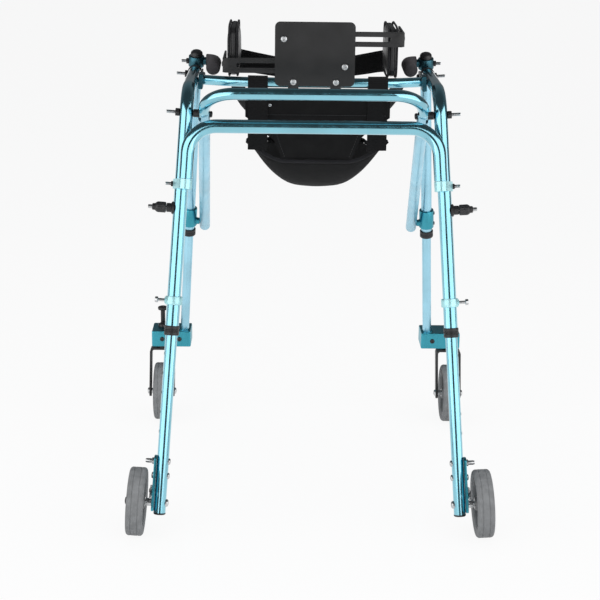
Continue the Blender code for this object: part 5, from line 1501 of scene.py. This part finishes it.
class WALKER_OT_third_bar(bpy.types.Operator):
    """Build the third bar with its end clamps, the hip plate and its screws and saddles"""
    bl_idname = "walker.third_bar"
    bl_label = "Third bar and hip plate"

    def execute(self, context):
        piece("third_bar", "tube", "root", ["stabilizer_bar"], swept,
              [stabilizer_middle(-1 + 2 * step / 40) for step in range(41)], STABILIZER_R)
        for name, side in SIDES:
            end = stabilizer_middle(side)
            centre = side_point(side, end.y, RAIL_Z, -RAIL_R - GAP - BAR_CLAMP_X / 2)
            bm = bmesh.new()
            block(bm, centre, outward(side), FORWARD, (BAR_CLAMP_X, BAR_CLAMP_Y, BAR_CLAMP_Z))
            ease(bm, 0.0022, 3)
            show("bar_clamp_" + name, bm, "clamp", "root")
            bm = bmesh.new()
            for shift in (-0.0115, 0.0115):
                at = (centre - outward(side) * (BAR_CLAMP_X / 2 - 0.0004)
                      + Vector((0, shift, 0.0085)))
                screw_head(bm, at, -outward(side), 0.0034, 0.0022, 24)
            show("bar_clamp_screws_" + name, bm, "fastener", "root")
        middle = Vector((PLATE_X, PLATE_Y, PLATE_FOOT_Z + PLATE_HEIGHT / 2))
        bm = bmesh.new()
        plate(bm, middle, RIGHT, UP, rounded_rectangle(0, 0, PLATE_WIDTH, PLATE_HEIGHT, 0.010),
              [], PLATE_THICK)
        ease(bm, 0.0011, 3, 0.9)
        show("hip_plate", bm, "plate", "root", ["stabilizer_plate"])
        front = PLATE_Y - PLATE_THICK / 2
        slide_room = PLATE_THICK + 2 * GAP + SLIDE_THICK + 0.001
        bm = bmesh.new()
        for x, z in PLATE_SCREWS:
            at = Vector((PLATE_X + x, front, z))
            screw_head(bm, at, -FORWARD, 0.0062, 0.0030)
            if z > BRACKET_SCREW_Z:
                turned(bm, at, FORWARD, [(0.0030, 0.003), (0.0030, slide_room + 0.001)], 24)
                screw_head(bm, at + FORWARD * slide_room, FORWARD, 0.0062, 0.0030)
        show("plate_screws", bm, "steel", "root")
        saddle_back = STABILIZER_Y + STABILIZER_R + 0.006
        outline = [(PLATE_Y, STABILIZER_Z - 0.014), (saddle_back, STABILIZER_Z - 0.014),
                   (saddle_back, STABILIZER_Z + 0.013), (PLATE_Y, STABILIZER_Z + 0.0165)]
        bm = bmesh.new()
        for sign in (-1, 1):
            x = PLATE_X + sign * BRACKET_HALF_X
            plate(bm, Vector((x, 0, 0)), FORWARD, UP, outline, [], SADDLE_WIDTH)
        ease(bm, 0.0022, 3)
        show("plate_saddles", bm, "black", "root")
        return {"FINISHED"}


class WALKER_OT_slide_bars(bpy.types.Operator):
    """Build the slotted bars that carry the hip pads"""
    bl_idname = "walker.slide_bars"
    bl_label = "Slide bars"

    def execute(self, context):
        for name, side, z, label in (("left", -1, LOWER_SLIDE_Z, "lower"),
                                     ("right", 1, UPPER_SLIDE_Z, "upper")):
            near = PLATE_X - side * SLIDE_OVERLAP
            far = side * SLIDE_REACH
            outline = rounded_rectangle((near + far) / 2, 0, abs(far - near), SLIDE_HEIGHT, 0.0055)
            slot_near = near + side * SLOT_MARGIN
            slot_far = far - side * SLOT_OUTER_MARGIN
            slot = rounded_rectangle((slot_near + slot_far) / 2, 0, abs(slot_far - slot_near),
                                     SLIDE_SLOT, SLIDE_SLOT / 2 - 0.0001)
            y = PLATE_Y + PLATE_THICK / 2 + 2 * GAP + SLIDE_THICK / 2
            bm = bmesh.new()
            plate(bm, Vector((0, y, z)), RIGHT, UP, outline, [slot], SLIDE_THICK)
            ease(bm, 0.0008, 2, 0.9)
            show("slide_bar_" + name, bm, "plate", "hip_pad_" + name, ["slot_bar_" + label])
            depth = SLIDE_THICK + PAD_WALL_LENGTH
            bm = bmesh.new()
            centre = Vector((side * (SLIDE_REACH - PAD_WALL / 2),
                             y - SLIDE_THICK / 2 + depth / 2, z))
            block(bm, centre, RIGHT, FORWARD, (PAD_WALL, depth - 0.0005, SLIDE_HEIGHT - 0.001))
            ease(bm, 0.0012, 3)
            show("pad_wall_" + name, bm, "plate", "hip_pad_" + name)
            bm = bmesh.new()
            for shift in (0.020, 0.085):
                at = Vector((side * SLIDE_REACH, y + shift, z))
                screw_head(bm, at - Vector((side * 0.0004, 0, 0)), Vector((side, 0, 0)),
                           0.0052, 0.0026)
            show("pad_wall_screws_" + name, bm, "fastener", "hip_pad_" + name)
        return {"FINISHED"}


# Soft pieces

def plump(made, voxel, pressure, swell):
    """Fills a closed piece as cloth round a cushion, each point moving no further than swell."""
    scene = bpy.context.scene
    skin = made.modifiers.new("skin", "REMESH")
    skin.mode = "VOXEL"
    skin.voxel_size = voxel
    settle(made)
    starts = [vert.co.copy() for vert in made.data.vertices]
    fill = made.modifiers.new("fill", "CLOTH")
    fill.settings.use_pressure = True
    fill.settings.uniform_pressure_force = pressure
    fill.settings.effector_weights.gravity = 0
    fill.point_cache.frame_start = 1
    fill.point_cache.frame_end = 20
    for number in range(1, 21):
        scene.frame_set(number)
    settle(made)
    scene.frame_set(1)
    for vert, start in zip(made.data.vertices, starts):
        moved = vert.co - start
        if moved.length > swell:
            vert.co = start + moved.normalized() * swell
    made.data.update()
    made.data.shade_smooth()


def settle(made):
    """Turns what a piece's modifiers make of it into its own mesh."""
    graph = bpy.context.evaluated_depsgraph_get()
    mesh = bpy.data.meshes.new_from_object(made.evaluated_get(graph))
    made.modifiers.clear()
    old = made.data
    made.data = mesh
    bpy.data.meshes.remove(old)
    mesh.name = made.name


def soften(made, levels=1):
    smooth = made.modifiers.new("soften", "SUBSURF")
    smooth.levels = levels
    smooth.render_levels = levels


def pillow(bm, centre, size, cuts, fullness, crown, pinch):
    """A crowned closed pad whose sides draw in between its corners."""
    made = bmesh.ops.create_cube(bm, size=2)["verts"]
    edges = {edge for vert in made for edge in vert.link_edges}
    bmesh.ops.subdivide_edges(bm, edges=list(edges), cuts=cuts, use_grid_fill=True)
    for vert in bm.verts:
        x, y, z = vert.co
        length = (abs(x) ** fullness + abs(y) ** fullness + abs(z) ** fullness) ** (1 / fullness)
        grown = Vector((x, y, z)) / length
        edge = max(abs(grown.y), abs(grown.z))
        thin = 1 - crown * edge ** 4
        draw = 1 - pinch * (1 - grown.y ** 2) * abs(grown.z) ** 3
        pull = 1 - pinch * (1 - grown.z ** 2) * abs(grown.y) ** 3
        vert.co = centre + Vector((grown.x * size[0] / 2 * thin, grown.y * size[1] / 2 * pull,
                                   grown.z * size[2] / 2 * draw))


def superellipse(centre, half_y, half_z, fullness, count):
    """The outline of a pad seen from its side."""
    loop = []
    for step in range(count):
        angle = 2 * math.pi * step / count
        y = math.cos(angle)
        z = math.sin(angle)
        length = (abs(y) ** fullness + abs(z) ** fullness) ** (1 / fullness)
        loop.append(centre + Vector((0, y / length * half_y, z / length * half_z)))
    return loop


def pad_centre(side):
    x = SLIDE_REACH - PAD_WALL - GAP - PAD_THICK / 2
    return Vector((side * x, PLATE_Y + PAD_LENGTH / 2 + PAD_START, PAD_Z))


def stitch_row(bm, path, lift, pitch, radius=STITCH_R):
    """Short stitches laid end to end along a path, just standing out of the cloth."""
    run = 0.0
    for one, two in zip(path, path[1:]):
        length = (two - one).length
        if length < 1e-6:
            continue
        while run < length:
            start = one.lerp(two, run / length) + lift
            stop = start + direction(one, two) * pitch * STITCH_SHARE
            reach = (stop - start).length
            turned(bm, start, stop - start, [(radius * 0.5, 0), (radius, reach * 0.18),
                                             (radius, reach * 0.82), (radius * 0.5, reach)], 6)
            run += pitch
        run -= length


class WALKER_OT_side_pads(bpy.types.Operator):
    """Build the two padded hip pads with their piped edges"""
    bl_idname = "walker.side_pads"
    bl_label = "Hip pads"

    def execute(self, context):
        soft = context.scene.walker_soft
        for name, side in SIDES:
            centre = pad_centre(side)
            size = (PAD_THICK - 0.006, PAD_LENGTH - 0.008, PAD_HEIGHT - 0.008)
            bm = bmesh.new()
            pillow(bm, centre, size, 15, 5, 0.34, PAD_PINCH)
            pad = show("hip_pad_cushion_" + name, bm, "cover", "hip_pad_" + name,
                       ["side_pad_" + name], 80)
            plump(pad, soft.voxel, soft.pressure, soft.swell * 0.5)
            soften(pad)
            for place in (-1, 1):
                shift = Vector((place * PAD_THICK * 0.26, 0, 0))
                loop = superellipse(centre + shift, PAD_LENGTH / 2 - PIPING_INSET,
                                    PAD_HEIGHT / 2 - PIPING_INSET, 5.2, 150)
                bm = bmesh.new()
                swept(bm, loop, soft.piping, 10, closed_path=True)
                label = "inner" if place == -side else "outer"
                show(f"pad_piping_{label}_{name}", bm, "binding", "hip_pad_" + name)
        return {"FINISHED"}


def cloth_length(surface, v=0.5, steps=60):
    """The length of a strap's middle line."""
    total = 0.0
    last = Vector(surface(0, v))
    for step in range(1, steps + 1):
        point = Vector(surface(step / steps, v))
        total += (point - last).length
        last = point
    return total


class WALKER_OT_belts(bpy.types.Operator):
    """Build the two halves of the front belt"""
    bl_idname = "walker.belts"
    bl_label = "Belt"

    def execute(self, context):
        soft = context.scene.walker_soft
        for name, side in SIDES:
            pad_front = PAD_LENGTH / 2 * (1 - PAD_PINCH) + 2 * GAP
            start = pad_centre(side) + Vector((0, pad_front + BELT_THICK / 2, -BELT_DROP))
            plane = side * (BELT_THICK + BELT_LAP_GAP) / 2

            def belt(u, v, side=side, start=start, plane=plane):
                reach = start.x + (side * BELT_INNER_X - start.x) * u
                turn = math.sin(math.pi / 2 * min(1, u / BELT_TURN))
                y = start.y + (BELT_BULGE + plane) * turn
                height = BELT_HEIGHT - BELT_TAPER * u
                z = start.z - BELT_SAG * math.sin(math.pi / 2 * u) + height * (v - 0.5)
                return (reach, y + BELT_RIPPLE * (1 - u) ** 3 * math.sin(u * BELT_WAVES + v), z)

            bm = bmesh.new()
            slab(bm, belt, 60, 6, BELT_THICK * 0.8)
            ease(bm, 0.0007, 2, 1.0)
            made = show("belt_half_" + name, bm, "webbing", "hip_pad_" + name, ["belt_" + name], 60)
            bm = bmesh.new()
            for v in (0.10, 0.90):
                for sign in (-1, 1):
                    lift = Vector((0, sign * (BELT_THICK * 0.4 + 0.0001), 0))
                    path = [Vector(belt(step / 40, v)) for step in range(1, 40)]
                    stitch_row(bm, path, lift, soft.stitch)
            stitches = show("belt_stitches_" + name, bm, "thread", "hip_pad_" + name)
            cloth_length(belt)
        return {"FINISHED"}


def loop_surface(x, foot_z, front_z):
    """A strap over the third bar: down behind the user, and a short end in front."""
    bar = bar_at(x)
    radius = STABILIZER_R + STRAP_ROOM + STRAP_THICK / 2
    path = []
    for step in range(9):
        z = foot_z + (bar.z - foot_z) * step / 9
        path.append(Vector((0, bar.y - radius, z)))
    for step in range(17):
        angle = math.pi * step / 16
        path.append(Vector((0, bar.y - radius * math.cos(angle), bar.z + radius * math.sin(angle))))
    for step in range(1, 6):
        path.append(Vector((0, bar.y + radius, bar.z + (front_z - bar.z) * step / 5)))
    slope = (bar_at(x + 0.005).y - bar_at(x - 0.005).y) / 0.01
    count = len(path) - 1

    def surface(u, v):
        index = min(int(u * count), count - 1)
        point = path[index].lerp(path[index + 1], u * count - index)
        beside = (v - 0.5) * STRAP_WIDTH
        return (x + beside, point.y + beside * slope, point.z)

    return surface, count


def panel_surface(u, v):
    """The seat's back: a wide panel over a tongue that narrows downwards."""
    height = PANEL_TOP_Z - TONGUE_FOOT_Z
    shoulder = (PANEL_FOOT_Z - TONGUE_FOOT_Z) / height
    ramp = min(1.0, max(0.0, (v - shoulder + 0.05) / 0.05))
    narrow = TONGUE_FOOT_WIDTH + (TONGUE_TOP_WIDTH - TONGUE_FOOT_WIDTH) * min(v / shoulder, 1)
    width = narrow + (PANEL_WIDTH - narrow) * ramp ** 0.5
    x = HARNESS_X + (u - 0.5) * width
    away = max(0, shoulder - v) / shoulder
    back = bar_at(STRAP_HALF_SPACING).y - STABILIZER_R + PANEL_THICK / 2 - STRAP_THICK / 2
    y = back + PANEL_BULGE * math.sin(math.pi * u) * (1 - v) + TONGUE_LEAN * away ** 2
    folds = noise.noise(Vector((u * 5, v * 3, 1.7))) * 0.0016
    return (x, y + folds * (0.3 + away), TONGUE_FOOT_Z + height * v)


class WALKER_OT_harness(bpy.types.Operator):
    """Build the seat's back: two straps over the third bar, panel, tongue and stitching"""
    bl_idname = "walker.harness"
    bl_label = "Seat back"

    def execute(self, context):
        soft = context.scene.walker_soft
        bm = bmesh.new()
        slab(bm, panel_surface, 56, 40, PANEL_THICK)
        ease(bm, 0.0009, 2, 1.1)
        panel = show("seat_back_panel", bm, "fabric", "root", ["harness_back"], 60)
        bm = bmesh.new()
        back = Vector((0, -PANEL_THICK / 2 - 0.0001, 0))
        height = PANEL_TOP_Z - TONGUE_FOOT_Z
        for z in (PANEL_TOP_Z - 0.005, PANEL_FOOT_Z + 0.006):
            v = (z - TONGUE_FOOT_Z) / height
            path = [Vector(panel_surface(0.03 + 0.94 * step / 60, v)) for step in range(61)]
            stitch_row(bm, path, back, soft.stitch)
        for u in (0.05, 0.95):
            path = [Vector(panel_surface(u, v / 30)) for v in range(1, 20)]
            stitch_row(bm, path, back, soft.stitch)
        stitches = show("seat_back_stitches", bm, "thread", "root")
        for name, sign in SIDES:
            surface, count = loop_surface(HARNESS_X + sign * STRAP_HALF_SPACING,
                                          STRAP_FOOT_Z, STRAP_FRONT_Z)
            bm = bmesh.new()
            slab(bm, surface, count, 6, STRAP_THICK)
            ease(bm, 0.0005, 2, 1.1)
            strap = show("seat_back_strap_" + name, bm, "webbing", "root", (), 60)
            cloth_length(surface, steps=count)
        bm = bmesh.new()
        rivet = Vector(panel_surface(0.17, 0.86)) - Vector((0, PANEL_THICK / 2 - 0.0004, 0))
        screw_head(bm, rivet, Vector((0, -1, 0)), 0.0034, 0.0016)
        show("seat_back_rivet", bm, "steel", "root")
        return {"FINISHED"}


def sling_line(v):
    """The middle line of the seat, from the tongue's foot down and forwards."""
    back_y = bar_at(STRAP_HALF_SPACING).y - STABILIZER_R + PANEL_THICK / 2 + SLING_BACK_STEP
    one = Vector((0, back_y, TONGUE_FOOT_Z - SLING_BACK_DROP))
    two = Vector((0, back_y + SLING_HEEL_Y, SLING_HEEL_Z))
    three = Vector((0, back_y + SLING_DIP_Y, SLING_DIP_Z))
    four = Vector((0, SLING_FRONT_Y, SLING_FRONT_Z))
    rest = 1 - v
    return one * rest ** 3 + two * 3 * rest * rest * v + three * 3 * rest * v * v + four * v ** 3


def sling_surface(u, v):
    point = sling_line(v)
    width = SLING_WIDTH * (1 - SLING_TAPER * v)
    beside = u - 0.5
    edge = abs(2 * beside)
    corner = max(0, edge - SLING_REAR_FLAT) / (1 - SLING_REAR_FLAT)
    cup = SLING_CUP * edge ** 3 * abs(math.sin(math.pi * v)) ** 0.8
    cup += SLING_REAR_CUP * corner ** 1.6 * (1 - v) ** 3
    return (HARNESS_X + beside * width, point.y, point.z + cup)


def sling_padding(u, v):
    rim = min(u, 1 - u, v, 1 - v)
    quilt = 0.5 + 0.5 * math.cos(2 * math.pi * u * 5)
    return SLING_THICK * (0.40 + 0.45 * min(rim / SLING_RIM_WIDTH, 1) ** 0.5 - 0.10 * quilt)


class WALKER_OT_sling(bpy.types.Operator):
    """Build the padded sling seat with its bound edge and front straps"""
    bl_idname = "walker.sling"
    bl_label = "Sling seat"

    def execute(self, context):
        soft = context.scene.walker_soft
        bm = bmesh.new()
        slab(bm, sling_surface, 44, 44, sling_padding)
        sling = show("sling_cushion", bm, "padding", "root", ["seat_sling"], 80)
        plump(sling, soft.voxel, soft.pressure, soft.swell * 0.4)
        soften(sling)
        border = []
        steps = 34
        inner = 1 - 2 * SLING_BINDING_INSET
        for start, stop in (((0, 0), (1, 0)), ((1, 0), (1, 1)), ((1, 1), (0, 1)), ((0, 1), (0, 0))):
            for step in range(steps):
                share = step / steps
                u = start[0] + (stop[0] - start[0]) * share
                v = start[1] + (stop[1] - start[1]) * share
                border.append(Vector(sling_surface(SLING_BINDING_INSET + inner * u,
                                                   SLING_BINDING_INSET + inner * v)))
        bm = bmesh.new()
        swept(bm, border, SLING_BINDING_R, 12, closed_path=True)
        show("sling_binding", bm, "binding", "root", (), 60)
        for name, sign in SIDES:
            start = Vector(sling_surface(0.5 + 0.5 * sign * FRONT_STRAP_START, FRONT_STRAP_SEAM))
            bar = bar_at(HARNESS_X + sign * FRONT_STRAP_SPACING)
            end = bar + Vector((0, STABILIZER_R + FRONT_STRAP_STEP, FRONT_STRAP_RISE))

            along = direction(start, end)

            def strap(u, v, start=start, end=end, sign=sign, along=along):
                point = start.lerp(end, u)
                point.x += sign * math.sin(math.pi * u) * FRONT_STRAP_BOW
                beside = Vector((sign * (0.35 + 0.5 * u), -0.1, 0.85 * (1 - 0.6 * u)))
                beside = (beside - along * beside.dot(along)).normalized()
                return point + beside * (v - 0.5) * FRONT_STRAP_WIDTH

            bm = bmesh.new()
            slab(bm, strap, 40, 6, STRAP_THICK)
            ease(bm, 0.0005, 2, 1.1)
            made = show("sling_strap_" + name, bm, "webbing", "root", (), 60)
            cloth_length(strap)
        return {"FINISHED"}


# Stage

def lamp(name, place, size, power, mirrored=True):
    """A soft rectangular lamp that looks at the walker, and is mirrored in the metal or not."""
    light = bpy.data.lights.new(name, "AREA")
    light.shape = "RECTANGLE"
    light.size, light.size_y = size
    light.energy = power
    made = bpy.data.objects.new(name, light)
    bpy.context.scene.collection.objects.link(made)
    made.location = place
    made.rotation_euler = (Vector(LAMP_AIM) - Vector(place)).to_track_quat("-Z", "Y").to_euler()
    made.visible_glossy = mirrored


def seen_directly(tree):
    """One where a ray comes from the camera, a reflection or a refraction, else nought."""
    rays = add_node(tree, "LightPath")
    one = blended(tree, rays.outputs["Is Camera Ray"], rays.outputs["Is Glossy Ray"], "MAXIMUM")
    return blended(tree, one, rays.outputs["Is Transmission Ray"], "MAXIMUM")


class WALKER_OT_stage(bpy.types.Operator):
    """Set up the camera, the floor, the lamps and the world"""
    bl_idname = "walker.stage"
    bl_label = "Stage"

    def execute(self, context):
        scene = context.scene
        stage = scene.walker_stage
        camera = bpy.data.cameras.new("camera")
        camera.sensor_width = 36
        camera.lens = stage.lens
        holder = bpy.data.objects.new("camera", camera)
        scene.collection.objects.link(holder)
        turn = (Matrix.Rotation(-stage.yaw, 4, "Z")
                @ Matrix.Rotation(math.pi / 2 - stage.pitch, 4, "X")
                @ Matrix.Rotation(stage.roll, 4, "Z"))
        holder.matrix_world = Matrix.Translation(stage.camera_place) @ turn
        scene.camera = holder

        bm = bmesh.new()
        bmesh.ops.create_grid(bm, x_segments=8, y_segments=8, size=FLOOR_REACH)
        mesh = bpy.data.meshes.new("floor")
        bm.to_mesh(mesh)
        bm.free()
        floor = bpy.data.objects.new("floor", mesh)
        scene.collection.objects.link(floor)
        floor.location.z = -FLOOR_DROP
        mesh.materials.append(self.floor_finish(stage))

        across_x, back_y, up_z = SIDE_LAMP_PLACE
        lamp("key_lamp", (-across_x, back_y, up_z), SIDE_LAMP_SIZE, stage.key_power)
        lamp("fill_lamp", SIDE_LAMP_PLACE, SIDE_LAMP_SIZE, stage.fill_power)
        lamp("top_lamp", TOP_LAMP_PLACE, TOP_LAMP_SIZE, stage.top_power, False)
        self.light_world(scene, stage)
        scene.view_settings.view_transform = "Standard"
        return {"FINISHED"}

    def floor_finish(self, stage):
        """A white glossy floor: it takes shadow and a faint reflection of the legs."""
        finish, tree, shader, place = blank("studio_floor")
        cloud = grain_noise(tree, place, 0.8)
        tree.links.new(tinted(tree, cloud, stage.floor_colour, 0.99, 1.01),
                       shader.inputs["Base Color"])
        shader.inputs["Roughness"].default_value = 0.12
        shader.inputs["Specular IOR Level"].default_value = 0.5
        glow = add_node(tree, "Emission", color=(1, 1, 1, 1), strength=1.0)
        share = add_node(tree, "Math", operation="MULTIPLY")
        tree.links.new(seen_directly(tree), share.inputs[0])
        share.inputs[1].default_value = stage.floor_glow
        mix = add_node(tree, "MixShader")
        tree.links.new(share.outputs["Value"], mix.inputs["Fac"])
        tree.links.new(shader.outputs["BSDF"], mix.inputs[1])
        tree.links.new(glow.outputs["Emission"], mix.inputs[2])
        tree.links.new(mix.outputs["Shader"], tree.nodes["Material Output"].inputs["Surface"])
        return finish

    def light_world(self, scene, stage):
        """White where it is seen, a dark room with a pale backdrop where it is mirrored."""
        world = bpy.data.worlds.new("studio")
        world.use_nodes = True
        tree = world.node_tree
        even = tree.nodes["Background"]
        even.inputs["Color"].default_value = (0.95, 0.97, 1.0, 1)
        even.inputs["Strength"].default_value = stage.world_level
        white = add_node(tree, "Background", color=(1, 1, 1, 1), strength=1.0)
        room = add_node(tree, "Background", color=(0.93, 0.97, 1.0, 1))
        parts = add_node(tree, "SeparateXYZ")
        tree.links.new(add_node(tree, "TexCoord").outputs["Generated"], parts.inputs["Vector"])
        backdrop = spread(tree, parts.outputs["Y"], stage.room_level, stage.backdrop_level,
                          0.1, 0.7)
        tree.links.new(backdrop, room.inputs["Strength"])
        rays = add_node(tree, "LightPath")
        mirrored = add_node(tree, "MixShader")
        tree.links.new(rays.outputs["Is Glossy Ray"], mirrored.inputs["Fac"])
        tree.links.new(even.outputs["Background"], mirrored.inputs[1])
        tree.links.new(room.outputs["Background"], mirrored.inputs[2])
        seen = add_node(tree, "MixShader")
        direct = blended(tree, rays.outputs["Is Camera Ray"], rays.outputs["Is Transmission Ray"],
                         "MAXIMUM")
        tree.links.new(direct, seen.inputs["Fac"])
        tree.links.new(mirrored.outputs["Shader"], seen.inputs[1])
        tree.links.new(white.outputs["Background"], seen.inputs[2])
        tree.links.new(seen.outputs["Shader"], tree.nodes["World Output"].inputs["Surface"])
        scene.world = world


PIECE_OPERATORS = (
    WALKER_OT_side_rails, WALKER_OT_crossbars, WALKER_OT_hinge_bolts, WALKER_OT_rear_legs,
    WALKER_OT_levers, WALKER_OT_plungers, WALKER_OT_wheels, WALKER_OT_uprights,
    WALKER_OT_handles, WALKER_OT_braces, WALKER_OT_front_legs, WALKER_OT_caster_forks,
    WALKER_OT_third_bar, WALKER_OT_slide_bars, WALKER_OT_side_pads, WALKER_OT_belts,
    WALKER_OT_harness, WALKER_OT_sling, WALKER_OT_stage)

GROUPS = {"walker_colours": WalkerColours, "walker_wheels": WalkerWheels,
          "walker_soft": WalkerSoft, "walker_stage": WalkerStage}


class WALKER_PT_panel(bpy.types.Panel):
    """Lists the walker's settings and the operators that build its pieces"""
    bl_idname = "WALKER_PT_panel"
    bl_label = "Walker"
    bl_space_type = "VIEW_3D"
    bl_region_type = "UI"
    bl_category = "Walker"

    def draw(self, context):
        layout = self.layout
        for operator in PIECE_OPERATORS:
            layout.operator(operator.bl_idname)
        for group_name, group in GROUPS.items():
            box = layout.box()
            for setting in group.__annotations__:
                box.prop(getattr(context.scene, group_name), setting)


CLASSES = (*GROUPS.values(), *PIECE_OPERATORS, WALKER_PT_panel)


def register():
    for made in CLASSES:
        bpy.utils.register_class(made)
    for group_name, group in GROUPS.items():
        setattr(bpy.types.Scene, group_name, bpy.props.PointerProperty(type=group))


def unregister():
    for group_name in GROUPS:
        delattr(bpy.types.Scene, group_name)
    for made in reversed(CLASSES):
        bpy.utils.unregister_class(made)


def main():
    register()
    for operator in PIECE_OPERATORS:
        area, action = operator.bl_idname.split(".")
        getattr(getattr(bpy.ops, area), action)()


if __name__ == "__main__":
    main()
